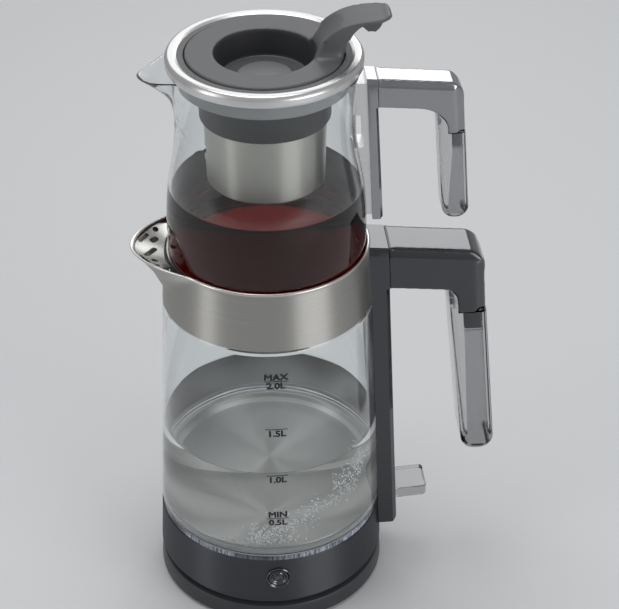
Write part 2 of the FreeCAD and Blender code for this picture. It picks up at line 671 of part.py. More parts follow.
def kettle_handle():
    """The kettle's own handle: its sizes as (x, z) points."""
    return Handle(half=KETTLE_HANDLE_W / 2,
                  seam=((76.4, 222.2), (74.9, KETTLE_ARM_TOP - 0.9)),
                  under=((112.0, 218.9), (117.6, 216.0)),
                  knee=((119.9, 210.2), (120.4, 206.0)),
                  leg=((120.7, 201.0), (139.4, 201.0)),
                  side=((137.4, 228.0), (135.4, 240.0)),
                  shoulder=(127.5, KETTLE_ARM_TOP - 5.8),
                  bevel=(2.0, 6.4), leg_bevel=(6.0, 7.5),
                  grip=((113.2, 218.7), (127.9, 89.6), (149.8, 89.6)),
                  rounding=(9.5, 4.0, 3.4, 15.0))


def pot_handle():
    """The teapot's handle: the same design at about two thirds of the size."""
    return Handle(half=POT_HANDLE_W / 2,
                  seam=((67.2, 348.3), (66.3, POT_ARM_TOP - 0.6)),
                  under=((92.0, 346.2), (103.6, 341.8)),
                  knee=((108.9, 335.6), (109.7, 332.5)),
                  leg=((109.9, 328.6), (121.0, 328.6)),
                  side=((119.4, 350.0), (117.6, 357.6)),
                  shoulder=(111.5, POT_ARM_TOP - 4.6),
                  bevel=(1.5, 4.6), leg_bevel=(4.2, 5.6),
                  grip=((102.6, 342.2), (108.9, 268.6), (125.6, 268.6)),
                  rounding=(7.4, 3.0, 2.5, 11.0))


def kettle_handle_parts(screw_holes):
    """Spine, arm and clear grip of the kettle, with the switch lever at the spine's foot."""
    handle = kettle_handle()
    half = handle.half
    seam_low = V(handle.seam_low[0], 0, handle.seam_low[1])
    seam_top = V(handle.seam_top[0], 0, handle.seam_top[1])
    head = V(60.0, 0, KETTLE_ARM_TOP + 0.5)
    foot = V(85.1, 0, KETTLE_SPINE_Z0 + 4.2)

    line = Outline(head.x, KETTLE_SPINE_Z0)
    line.line(foot.x - 4.2, KETTLE_SPINE_Z0)
    line.arc(foot.x - 1.2, foot.z - 3.0, foot.x, foot.z)
    line.lines(handle.seam_low, handle.seam_top, (head.x, head.z))
    spine = line.extruded(half).cut(kettle_core()).cut(screw_holes)
    spine = spine.cut(corner_cut(head, seam_top, half, *handle.bevel))
    spine = spine.cut(corner_cut(seam_low, foot, half, KETTLE_SPINE_BEVEL, KETTLE_SPINE_BEVEL, before=0.0))
    pocket_half = LEVER_HALF_W + LEVER_GAP
    pocket = block(LEVER_PIVOT.x - 7.0, LEVER_PIVOT.x + 17.0, -pocket_half, pocket_half,
                   LEVER_PIVOT.z - 7.0, LEVER_PIVOT.z + 5.4)
    pin = y_cylinder(SCREW_R, -LEVER_HALF_W - 2.6, LEVER_HALF_W + 2.6, LEVER_PIVOT.x, LEVER_PIVOT.z)

    export("kettle_spine", spine.cut([pocket, pin]))
    export("kettle_arm", handle.arm())
    export("kettle_grip", handle.grip())
    export("lever_pin", pin)


def switch_lever():
    """The flat switch lever that stands out of the spine's foot on its pin."""
    half_t = LEVER_T / 2
    z = LEVER_PIVOT.z
    rise = 1.4
    root = LEVER_ROOT_X
    paddle = Outline(root, z - half_t)
    paddle.lines((LEVER_END_X, z - half_t + rise), (LEVER_END_X, z + half_t + rise), (root, z + half_t))
    plate = paddle.extruded(LEVER_HALF_W)
    corners = [edge for edge in plate.Edges
               if abs(edge.Vertexes[0].Point.z - edge.Vertexes[-1].Point.z) > 1.0
               and min(vertex.Point.x for vertex in edge.Vertexes) > LEVER_END_X - 0.1]
    plate = plate.makeFillet(3.0, corners)
    rim = [edge for edge in plate.Edges if max(vertex.Point.x for vertex in edge.Vertexes) > root + 0.1]
    plate = plate.makeFillet(0.9, rim)
    hub_r = 3.6
    stem = Outline(LEVER_PIVOT.x, z - hub_r + 0.6)
    stem.lines((root, z - half_t + 0.5), (root, z + half_t - 0.5), (LEVER_PIVOT.x, z + hub_r - 0.6))
    hub = y_cylinder(hub_r, -LEVER_HALF_W, LEVER_HALF_W, LEVER_PIVOT.x, z)
    bore = y_cylinder(SCREW_R + PIN_CLEARANCE, -REACH, REACH, LEVER_PIVOT.x, z)
    export("switch_lever", plate.fuse([stem.extruded(LEVER_HALF_W), hub]).cut(bore))


# ---- teapot ---------------------------------------------------------------------------------------------

def pot_outline(inset):
    """The teapot's outside, or with an inset its inside, as an open run from the floor to the rim."""
    line = Outline(0, POT_FLOOR + inset)
    line.line(POT_FLAT_R - inset / 2, POT_FLOOR + inset)
    line.line(POT_FLAT_R + 3.3 - inset * 0.8, POT_FLOOR + 1.4 + inset * 0.7)
    line.line(POT_FOOT_R - inset, POT_FLOOR + 5.0)
    for (via_r, via_z), (r, z) in (POT_BELLY, POT_WAIST):
        line.arc(via_r - inset, via_z, r - inset, z)
    line.line(POT_RIM_R - inset, POT_RIM_Z)
    return line


def pot_solid(inset):
    line = pot_outline(inset)
    line.line(0, POT_RIM_Z)
    return line.revolved()


def teapot_parts():
    """The blown glass pot with its pouring lip, and its handle on a saddle that spans the waist."""
    body = pot_solid(0)
    lip = beak(POT_LIP_KEEL, POT_LIP_FOCAL_R, POT_LIP_BACK_X, 0)
    lip_room = beak(POT_LIP_KEEL, POT_LIP_FOCAL_R, POT_LIP_BACK_X, POT_WALL)
    slant = Outline(-REACH, POT_RIM_Z + 20)
    slant.lines((-REACH, POT_LIP_TIP.z), (POT_LIP_TIP.x, POT_LIP_TIP.z), (-56.0, POT_RIM_Z - 1.0),
                (-50.0, POT_RIM_Z), (REACH, POT_RIM_Z), (REACH, POT_RIM_Z + 20))
    glass = body.fuse(lip).cut([pot_solid(POT_WALL), lip_room]).cut(slant.extruded(REACH))

    handle = pot_handle()
    half = handle.half
    foot = V(71.5, 0, POT_SPINE_Z0)
    seam_low = V(handle.seam_low[0], 0, handle.seam_low[1])
    seam_top = V(handle.seam_top[0], 0, handle.seam_top[1])
    head = V(POT_HEAD_X, 0, POT_ARM_TOP)
    spine = Outline(spine_front(POT_SPINE_Z0), POT_SPINE_Z0)
    spine.line(foot.x - 1.5, POT_SPINE_Z0)
    spine.line(foot.x, POT_SPINE_Z0 + 1.5)
    spine.lines(handle.seam_low, handle.seam_top, (head.x, head.z))
    bar = spine.extruded(half)
    bar = bar.cut(corner_cut(head, seam_top, half, *handle.bevel))
    bar = bar.cut(corner_cut(seam_low, foot, half, POT_SPINE_BEVEL, POT_SPINE_BEVEL, before=0.0))

    low = POT_SPINE_Z0 + SADDLE_INSET
    high = POT_ARM_TOP - SADDLE_INSET
    gap_low, gap_high = SADDLE_GAP
    inside = POT_RIM_R - 3 * POT_WALL
    saddle = Outline(inside, low)
    saddle.lines((spine_front(low), low), (spine_front(high), high), (inside, high), (inside, gap_high),
                 (spine_front(gap_high) - SADDLE_T, gap_high), (spine_front(gap_low) - SADDLE_T, gap_low),
                 (inside, gap_low))

    export("teapot_glass", glass)
    export("pot_saddle", saddle.extruded(half - SADDLE_STEP).cut(body))
    export("pot_spine", bar)
    export("pot_arm", handle.arm())
    export("pot_grip", handle.grip())


def spine_front(z):
    """How far out the face of the pot's spine that looks to the glass lies at a height."""
    share = (z - POT_SPINE_Z0) / (POT_ARM_TOP - POT_SPINE_Z0)
    return POT_SPINE_FRONT_X + (POT_HEAD_X - POT_SPINE_FRONT_X) * share


# ---- lid and infuser --------------------------------------------------------------------------------------

def cover_parts():
    """The plated ring on the pot's rim, its seat with the hinge lugs and the skirt in the neck."""
    ring = Outline(RING_IN_R, POT_RIM_Z)
    ring.lines((RING_OUT_R - 0.6, POT_RIM_Z), (RING_OUT_R, POT_RIM_Z + 0.8), (RING_OUT_R, RING_TOP - 2.6),
               (RING_OUT_R - 0.9, RING_TOP - 0.9), (RING_OUT_R - 2.8, RING_TOP), (RING_IN_R + 1.0, RING_TOP),
               (RING_IN_R, RING_TOP - 1.0))

    seat_top = RING_TOP - 1.0
    seat_under = LEDGE_Z - 4.6
    seat = Outline(LEDGE_R, seat_under + 1.0)
    seat.lines((LEDGE_R + 1.0, seat_under), (SKIRT_R, seat_under), (SKIRT_R, POT_RIM_Z),
               (RING_IN_R, POT_RIM_Z), (RING_IN_R, seat_top), (SEAT_RING_IN_R + 0.4, seat_top),
               (SEAT_RING_IN_R, seat_top - 0.4), (SEAT_RING_IN_R, LEDGE_Z), (LEDGE_R, LEDGE_Z))
    lever_room = block(38.0, SEAT_RING_IN_R - 1.4, -30, 30, seat_under - 4.0, LEDGE_Z + 1)
    seat_ring = seat.revolved().cut(lever_room)
    lug_under = LEDGE_Z - 3.0
    lug_back = SEAT_RING_IN_R + 1.7
    lug = Outline(HINGE_X - 1.6, HINGE_Z - HINGE_HUB_R * 0.8)
    lug.lines((HINGE_X - 1.0, lug_under), (lug_back, lug_under), (lug_back, LEDGE_Z + 1.5),
              (HINGE_X + 2.6, HINGE_Z - 1.6), (HINGE_X + 2.0, HINGE_Z))
    hub = y_cylinder(HINGE_HUB_R, -LUG_HALF_W, LUG_HALF_W, HINGE_X, HINGE_Z)
    bore = y_cylinder(HINGE_PIN_R + PIN_CLEARANCE, -REACH, REACH, HINGE_X, HINGE_Z)
    seat_ring = seat_ring.fuse([lug.extruded(LUG_HALF_W), hub]).cut(bore)

    skirt_in = SKIRT_R - SKIRT_WALL
    skirt = Outline(skirt_in, SKIRT_Z0)
    skirt.lines((SKIRT_R - 0.6, SKIRT_Z0), (SKIRT_R, SKIRT_Z0 + 0.8), (SKIRT_R, seat_under),
                (skirt_in, seat_under))

    export("lid_ring", ring.revolved())
    export("lid_seat", seat_ring)
    export("lid_skirt", skirt.revolved())


def infuser_parts():
    """The steel basket that narrows a little downwards, and the collar that hangs it from the skirt."""
    skirt_in = SKIRT_R - SKIRT_WALL
    wall_in = BASKET_TOP_R + 0.1
    wall_out = BASKET_TOP_R + 2.4
    low = BASKET_Z1 - 5.0
    flange_top = SKIRT_Z0 + 2.4
    collar = Outline(wall_in, low)
    collar.lines((wall_out - 0.6, low), (wall_out, low + 1.0), (wall_out, SKIRT_Z0), (skirt_in, SKIRT_Z0),
                 (skirt_in, flange_top), (wall_in - 0.9, flange_top), (wall_in - 0.9, BASKET_Z1),
                 (wall_in, BASKET_Z1))

    basket = Outline(0, BASKET_Z0)
    basket.lines((BASKET_R - 1.8, BASKET_Z0), (BASKET_R, BASKET_Z0 + 1.8), (BASKET_TOP_R, BASKET_Z1),
                 (BASKET_TOP_R - BASKET_T, BASKET_Z1), (BASKET_R - BASKET_T, BASKET_Z0 + 2.1),
                 (BASKET_R - 2.1, BASKET_Z0 + BASKET_T), (0, BASKET_Z0 + BASKET_T))
    cup = basket.revolved()
    for ring in range(BASKET_HOLE_RINGS):
        hole = cylinder(BASKET_HOLE_R, BASKET_Z0 - 1, BASKET_Z0 + 2, ring * BASKET_HOLE_STEP)
        cup = cup.cut(around(hole, max(1, 6 * ring)))

    export("infuser_collar", collar.revolved())
    export("infuser_basket", cup)


def thumb_lever():
    """The lever that rises from the lid's deck to a flat paddle, with a rib under its free end."""
    base = RING_TOP - 0.6
    side = Outline(20.0, base)
    side.line(20.0, RING_TOP - 0.4)
    side.curve([(25.8, 385.8), (29.3, 389.0), (33.0, 394.0), (37.6, 398.4), (43.3, 402.2), (49.1, 404.6),
                (58.0, 406.3), (70.5, THUMB_TOP)])
    side.arc(74.3, THUMB_TOP - 0.2, 74.9, THUMB_TOP - 2.0)
    side.line(62.0, 404.6)
    side.curve([(57.2, 403.6), (53.4, 401.0), (50.6, 397.4), (48.4, 392.6), (46.9, 387.9), (46.6, RING_TOP)])
    side.line(46.6, base)
    bar = side.extruded(THUMB_HALF_W)

    low = BOWL_FLOOR
    high = THUMB_TOP + RUN_OUT
    round_x = THUMB_END_X - THUMB_ROUND_R
    round_y = THUMB_HALF_W - THUMB_ROUND_R
    plan = block(BOWL_R / 2, round_x, -THUMB_HALF_W, THUMB_HALF_W, low, high)
    plan = plan.fuse([block(round_x, THUMB_END_X, -round_y, round_y, low, high),
                      cylinder(THUMB_ROUND_R, low, high, round_x, round_y),
                      cylinder(THUMB_ROUND_R, low, high, round_x, -round_y)])

    rib = Outline(53.6, 400.4)
    rib.arc(58.8, 397.3, 62.2, 393.4)
    rib.arc(66.4, 395.4, 69.5, 405.6)
    rib.line(54.0, 404.5)
    return bar.common(plan).fuse(rib.extruded(THUMB_RIB_HALF_W))


def flap_parts():
    """The lid's flap: a deck with a finger bowl, the thumb lever, the vent disc and the hinge pin."""
    bowl_z = BOWL_FLOOR + 1.2
    floor_r = BOWL_R - 3.2
    wall_top = (BOWL_R - 0.2, RING_TOP - 1.2)
    deck_under = RING_TOP - FLAP_T
    deck = Outline(0, BOWL_FLOOR - 2.0)
    deck.lines((floor_r + 1.8, BOWL_FLOOR - 2.0), (BOWL_R + 1.0, deck_under - 1.0),
               (BOWL_R + 2.6, deck_under), (FLAP_R - 2.0, deck_under), (FLAP_R - 2.0, LEDGE_Z),
               (FLAP_R, LEDGE_Z), (FLAP_R, RING_TOP - 0.6), (FLAP_R - 0.6, RING_TOP),
               (BOWL_R + 0.8, RING_TOP), wall_top, (floor_r, bowl_z), (0, bowl_z))
    plate = deck.revolved()

    bowl = Outline(0, bowl_z)
    bowl.lines((floor_r, bowl_z), wall_top)
    bowl.arc(35.0, 393.4, 46.5, 403.6)
    bowl.lines((46.5, THUMB_TOP + RUN_OUT), (0, THUMB_TOP + RUN_OUT))
    lever = thumb_lever().cut(bowl.revolved())
    flap = plate.fuse(lever)

    room_half = LUG_HALF_W + 0.4
    room_x = HINGE_X - 4.2
    lug_room = block(room_x, THUMB_END_X, -room_half, room_half, BOWL_FLOOR, HINGE_Z + HINGE_HUB_R + 1.8)
    back_room = block(BOWL_R + 3.4, room_x, -room_half, room_half, BOWL_FLOOR, deck_under)
    pin = y_cylinder(HINGE_PIN_R, -THUMB_HALF_W + 1.6, THUMB_HALF_W, HINGE_X, HINGE_Z)
    flap = flap.cut([lug_room, back_room, pin])

    vent = Outline(0, bowl_z)
    vent.lines((VENT_R, bowl_z), (VENT_R, bowl_z + 1.0), (VENT_R - 0.8, bowl_z + 1.6), (0, bowl_z + 2.0))

    export("lid_flap", flap)
    export("vent_disc", vent.revolved())
    export("hinge_pin", pin)


if __name__ == "__main__":
    base_parts()
    heater_parts()
    handle_screw_holes = glass_parts()
    spout_parts()
    button_parts()
    kettle_handle_parts(handle_screw_holes)
    switch_lever()
    teapot_parts()
    cover_parts()
    infuser_parts()
    flap_parts()
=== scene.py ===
import logging
import math
import random
from collections.abc import Callable, Sequence
from dataclasses import dataclass
from enum import Enum

import bmesh
import bpy
from mathutils import Euler, Matrix, Vector


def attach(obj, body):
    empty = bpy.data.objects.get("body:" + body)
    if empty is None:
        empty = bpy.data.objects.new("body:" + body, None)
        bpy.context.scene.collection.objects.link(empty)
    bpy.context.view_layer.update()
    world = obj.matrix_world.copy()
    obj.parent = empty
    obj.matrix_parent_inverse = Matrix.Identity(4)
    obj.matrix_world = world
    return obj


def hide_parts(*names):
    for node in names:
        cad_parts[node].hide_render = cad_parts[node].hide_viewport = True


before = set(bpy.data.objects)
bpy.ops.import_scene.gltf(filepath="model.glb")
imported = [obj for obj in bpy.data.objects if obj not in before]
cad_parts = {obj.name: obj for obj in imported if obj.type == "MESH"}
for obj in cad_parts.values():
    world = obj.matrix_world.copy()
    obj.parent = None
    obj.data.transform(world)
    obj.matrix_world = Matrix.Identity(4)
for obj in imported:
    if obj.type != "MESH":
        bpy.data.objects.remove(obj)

Point = tuple[float, float]
Place = tuple[float, float, float]
Mesh = bmesh.types.BMesh
Face = bmesh.types.BMFace
Tree = bpy.types.NodeTree
Socket = bpy.types.NodeSocket

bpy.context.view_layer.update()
LOG = logging.getLogger("tea_maker")
MM = 0.001
TURN = 2 * math.pi

# Nearly all values of a noise lie between these two.
NOISE_LOW = 0.3
NOISE_HIGH = 0.7
# A Mix node's colour sockets share their names with its other sockets, so they go by number.
MIX_FACTOR = 0
MIX_FIRST = 6
MIX_SECOND = 7
MIX_RESULT = 2
BLACK = (0.0, 0.0, 0.0, 1.0)
WAVE_DEPTH = 2.0 * MM

WELD = 1e-6
FLAT_DEG = 0.3
BEVEL_STEPS = 4
BEVEL_DEG = 28.0
CAST_CREASE_DEG = 75.0
# Turns of smoothing that take the steps off a remeshed body.
DESTEP_TURNS = 2
# A liquid's faces that look up less than this stand against glass.
SKIN_SLOPE = 0.2

# The kettle's tapered outside: its radius at a height, and how much it loses for each millimetre.
KETTLE_R = 75.0
KETTLE_Z = 19.6
KETTLE_TAPER = 0.0415


class Body(Enum):
    """The bodies that pieces ride on."""

    BASE = "power_base"
    KETTLE = "kettle"
    SWITCH = "switch_lever"
    BUTTON = "button"
    TEAPOT = "teapot"
    COVER = "cover"
    LID = "lid"


class Brushing(Enum):
    """The way that a brushed finish's lines run."""

    ROUND_WALL = "level lines round an upright wall"
    RINGS = "rings on a flat plate"


# ---- materials ------------------------------------------------------------------------------------


def linear(colour: str) -> tuple[float, float, float, float]:
    """Turn an sRGB hex colour to linear.

    Args:
        colour: Six hex digits after a hash.

    Returns:
        Red, green, blue and an alpha of one.
    """
    values = []
    for start in (1, 3, 5):
        share = int(colour[start:start + 2], 16) / 255
        values.append(share / 12.92 if share <= 0.04045 else ((share + 0.055) / 1.055) ** 2.4)
    return (values[0], values[1], values[2], 1.0)


def add(tree: Tree, kind: str, inputs: dict | None = None, **settings: object) -> bpy.types.Node:
    """Add a node with its settings and links.

    Args:
        tree: The tree that gets the node.
        kind: The node's type name.
        inputs: A value or an output socket for each input, by its name or number.
        **settings: The node's own properties.

    Returns:
        The new node.
    """
    node = tree.nodes.new(kind)
    for name, value in settings.items():
        setattr(node, name, value)
    for key, value in (inputs or {}).items():
        if isinstance(value, Socket):
            tree.links.new(value, node.inputs[key])
        else:
            node.inputs[key].default_value = value
    return node


@dataclass(frozen=True)
class Finish:
    """A surface finish. Each kind below draws its own patterns."""

    name: str
    colour: str
    roughness: float

    def material(self) -> bpy.types.Material:
        """Make this finish's material on its first use.

        Returns:
            The material.
        """
        found = bpy.data.materials.get(self.name)
        if found:
            return found
        made = bpy.data.materials.new(self.name)
        made.use_nodes = True
        tree = made.node_tree
        tree.nodes.clear()
        outputs = {"Surface": self.shader(tree)}
        inside = self.inside(tree)
        if inside:
            outputs["Volume"] = inside
        add(tree, "ShaderNodeOutputMaterial", outputs)
        made.diffuse_color = linear(self.colour)
        return made

    def shader(self, tree: Tree) -> Socket:
        """Draw the shader and return its output."""
        return add(tree, "ShaderNodeBsdfPrincipled", self.look(tree)).outputs["BSDF"]

    def look(self, tree: Tree) -> dict[str, object]:
        """Draw the patterns and return what the shader's inputs get."""
        raise NotImplementedError

    def inside(self, tree: Tree) -> Socket | None:
        """Draw what light meets inside the body, if anything, and return its output."""
        return None

    def noise(self, tree: Tree, inputs: dict, **settings: object) -> Socket:
        """Draw a noise and spread its values.

        Args:
            tree: The material's tree.
            inputs: The noise's place, scale and detail.
            **settings: The noise's own properties.

        Returns:
            The noise's value, spread from 0 to 1.
        """
        drawn = add(tree, "ShaderNodeTexNoise", inputs, **settings)
        spread = {"Value": drawn.outputs["Fac"], "From Min": NOISE_LOW, "From Max": NOISE_HIGH}
        return add(tree, "ShaderNodeMapRange", spread).outputs["Result"]

    def pattern(self, tree: Tree, sizes_mm: Sequence[float], detail: float = 2.0) -> Socket:
        """Draw a noise on the piece's own coordinates.

        Args:
            tree: The material's tree.
            sizes_mm: Size of its lines or grains along X, Y and Z.
            detail: How many finer layers the noise has.

        Returns:
            The noise's value, spread from 0 to 1.
        """
        place = add(tree, "ShaderNodeTexCoord").outputs["Object"]
        scale = tuple(1 / (size * MM) for size in sizes_mm)
        stretched = add(tree, "ShaderNodeMapping", {"Vector": place, "Scale": scale}).outputs["Vector"]
        return self.noise(tree, {"Vector": stretched, "Scale": 1.0, "Detail": detail, "Roughness": 0.55})

    def vary(self, tree: Tree, noise: Socket, change: float, smear: float) -> dict[str, object]:
        """Make the finish lighter and duller where a noise is high, darker and smoother where it is low.

        Args:
            tree: The material's tree.
            noise: The noise's value.
            change: How much lighter and darker, as a share of the colour.
            smear: How much the roughness goes up and down.

        Returns:
            What the shader's colour and roughness get.
        """
        colour = linear(self.colour)
        if change:
            dark = tuple(part * (1 - change) for part in colour[:3]) + (1.0,)
            light = tuple(min(1.0, part * (1 + change)) for part in colour[:3]) + (1.0,)
            shades = {MIX_FACTOR: noise, MIX_FIRST: dark, MIX_SECOND: light}
            colour = add(tree, "ShaderNodeMix", shades, data_type="RGBA").outputs[MIX_RESULT]
        smears = {"Value": noise, "To Min": self.roughness - smear, "To Max": self.roughness + smear}
        return {"Base Color": colour, "Roughness": add(tree, "ShaderNodeMapRange", smears).outputs["Result"]}


@dataclass(frozen=True)
class BrushedSteel(Finish):
    """Stainless steel ground with a belt: fine lines that draw each highlight out across them."""

    line_mm: float = 0.3  # real lines are about 0.05 mm apart, drawn coarser so that they show
    run_mm: float = 70.0
    run: Brushing = Brushing.ROUND_WALL
    stretch: float = 0.75
    stretch_turn: float = 0.25  # a quarter turn, which puts the stretch across the lines
    change: float = 0.07
    smear: float = 0.03
    groove: float = 0.08
    groove_mm: float = 0.04

    def look(self, tree: Tree) -> dict[str, object]:
        """Draw metal with lines along the brushing.

        Args:
            tree: The material's tree.

        Returns:
            What the shader's inputs get.
        """
        if self.run is Brushing.RINGS:
            lines = self.rings(tree)
        else:
            lines = self.pattern(tree, (self.run_mm, self.run_mm, self.line_mm))
        grooves = {"Height": lines, "Strength": self.groove, "Distance": self.groove_mm * MM}
        bump = add(tree, "ShaderNodeBump", grooves)
        around = add(tree, "ShaderNodeTangent", direction_type="RADIAL", axis="Z")
        metal = {"Metallic": 1.0, "Normal": bump.outputs["Normal"], "Tangent": around.outputs["Tangent"],
                 "Anisotropic": self.stretch, "Anisotropic Rotation": self.stretch_turn}
        return metal | self.vary(tree, lines, self.change, self.smear)

    def rings(self, tree: Tree) -> Socket:
        """Draw a noise of the distance from the Z axis.

        Args:
            tree: The material's tree.

        Returns:
            The noise's value, spread from 0 to 1.
        """
        place = add(tree, "ShaderNodeTexCoord").outputs["Object"]
        flat = add(tree, "ShaderNodeMapping", {"Vector": place, "Scale": (1.0, 1.0, 0.0)})
        radius = add(tree, "ShaderNodeVectorMath", {0: flat.outputs["Vector"]}, operation="LENGTH")
        inputs = {"W": radius.outputs["Value"], "Scale": 1 / (self.line_mm * MM), "Detail": 2.0}
        return self.noise(tree, inputs, noise_dimensions="1D")


@dataclass(frozen=True)
class PlatedMetal(Finish):
    """Chrome or polished steel: a hard mirror with faint waves from polishing."""

    wave_mm: float = 9.0
    wave: float = 0.03
    change: float = 0.03
    smear_share: float = 0.12

    def look(self, tree: Tree) -> dict[str, object]:
        """Draw a mirror with faint waves and smears.

        Args:
            tree: The material's tree.

        Returns:
            What the shader's inputs get.
        """
        waves = self.pattern(tree, (self.wave_mm,) * 3, 1.0)
        bump = add(tree, "ShaderNodeBump", {"Height": waves, "Strength": self.wave, "Distance": WAVE_DEPTH})
        smears = self.pattern(tree, (self.wave_mm,) * 3, 3.0)
        metal = {"Metallic": 1.0, "Normal": bump.outputs["Normal"]}
        return metal | self.vary(tree, smears, self.change, self.roughness * self.smear_share)


@dataclass(frozen=True)
class Moulded(Finish):
    """Injection moulded plastic, rubber or paint with a spark-eroded grain."""

    grain_mm: float = 0.35  # a real grain of 0.1 mm, drawn coarser so that it shows
    grain: float = 0.12
    grain_depth_mm: float = 0.1
    cloud_mm: float = 100 / 3
    metallic: float = 0.0
    coat: float = 0.0
    coat_roughness: float = 0.08
    change: float = 0.05
    smear: float = 0.03

    def look(self, tree: Tree) -> dict[str, object]:
        """Draw an even body colour with a fine grain.

        Args:
            tree: The material's tree.

        Returns:
            What the shader's inputs get.
        """
        grains = self.pattern(tree, (self.grain_mm,) * 3)
        clouds = self.pattern(tree, (self.cloud_mm,) * 3, 3.0)
        pits = {"Height": grains, "Strength": self.grain, "Distance": self.grain_depth_mm * MM}
        skin = {"Metallic": self.metallic, "Normal": add(tree, "ShaderNodeBump", pits).outputs["Normal"],
                "Coat Weight": self.coat, "Coat Roughness": self.coat_roughness}
        return skin | self.vary(tree, clouds, self.change, self.smear)


@dataclass(frozen=True)
class Opal(Finish):
    """Milky plastic with a row of small lamps behind it, so that it glows in upright ticks, which are
    painted glints.
    """

    tick_mm: Point = (1.1, 8.8)
    reach_mm: float = 28.0
    glow: float = 0.5
    lamp: str = "#dde7fb"
    change: float = 0.2
    smear: float = 0.05

    def look(self, tree: Tree) -> dict[str, object]:
        """Draw a smooth skin that glows in ticks of painted glints, brighter near each lamp, and lighter in
        colour there too.

        Args:
            tree: The material's tree.

        Returns:
            What the shader's inputs get.
        """
        wide, high = self.tick_mm
        ticks = self.pattern(tree, (wide, wide, high), 1.0)
        near = self.pattern(tree, (self.reach_mm,) * 3, 1.0)
        glints = add(tree, "ShaderNodeMath", {0: ticks, 1: near}, operation="MULTIPLY")
        light = add(tree, "ShaderNodeMix",
                    {MIX_FACTOR: glints.outputs["Value"], MIX_FIRST: BLACK, MIX_SECOND: linear(self.lamp)},
                    data_type="RGBA")
        lit = {"Emission Color": light.outputs[MIX_RESULT], "Emission Strength": self.glow}
        return lit | self.vary(tree, ticks, self.change, self.smear)


@dataclass(frozen=True)
class Clear(Finish):
    """Glass, clear plastic or a liquid. Lamps shine through it, so what it holds stays lit."""

    ior: float = 1.47
    wave_mm: float = 30.0
    wave: float = 0.02
    shadow: str = "#e6e8ea"
    depth_tint: str = "#ffffff"
    per_metre: float = 0.0

    def shader(self, tree: Tree) -> Socket:
        """Draw a refracting body that lets light from the lamps pass.

        Args:
            tree: The material's tree.

        Returns:
            The shader's output.
        """
        body = super().shader(tree)
        shade = add(tree, "ShaderNodeBsdfTransparent", {"Color": linear(self.shadow)})
        path = add(tree, "ShaderNodeLightPath")
        mix = add(tree, "ShaderNodeMixShader",
                  {0: path.outputs["Is Shadow Ray"], 1: body, 2: shade.outputs["BSDF"]})
        return mix.outputs["Shader"]

    def look(self, tree: Tree) -> dict[str, object]:
        """Draw a clear body whose skin has slow waves.

        Args:
            tree: The material's tree.

        Returns:
            What the shader's inputs get.
        """
        waves = self.pattern(tree, (self.wave_mm,) * 3, 1.0)
        bump = add(tree, "ShaderNodeBump", {"Height": waves, "Strength": self.wave, "Distance": WAVE_DEPTH})
        return {"Base Color": linear(self.colour), "IOR": self.ior, "Transmission Weight": 1.0,
                "Roughness": self.roughness, "Normal": bump.outputs["Normal"]}

    def inside(self, tree: Tree) -> Socket | None:
        """Draw the tint that grows with the depth of a dark liquid.

        Args:
            tree: The material's tree.

        Returns:
            The tint's output, or nothing for a liquid without one.
        """
        if not self.per_metre:
            return None
        depth = {"Color": linear(self.depth_tint), "Density": self.per_metre}
        return add(tree, "ShaderNodeVolumeAbsorption", depth).outputs["Volume"]


class Slot(Enum):
    """The record's material slots."""

    BASE = "base_plastic"
    CONNECTOR = "connector_plastic"
    FOOT = "foot_rubber"
    FASTENER = "fastener_steel"
    CONTACT = "contact_brass"
    DARK_STEEL = "dark_steel"
    COLLAR = "collar_steel"
    POLISHED = "polished_steel"
    PLATE = "plate_steel"
    ELEMENT = "element_aluminium"
    THERMOSTAT = "thermostat_plastic"
    BOARD = "board_green"
    LIGHT = "light_diffuser"
    SILICONE = "silicone"
    GLASS = "clear_glass"
    HANDLE_PAINTED_SHADE = "handle_dark"
    HANDLE_SILVER = "handle_silver"
    GRIP = "clear_grip"
    LEVER = "clear_lever"
    CHROME = "chrome_trim"
    BUTTON = "button_plastic"
    SATIN = "satin_chrome"
    LID_GREY = "lid_grey"
    LID_DARK = "lid_dark"
    VENT = "vent_grey"
    INK = "print_ink"
    WATER = "water"
    TEA = "tea"


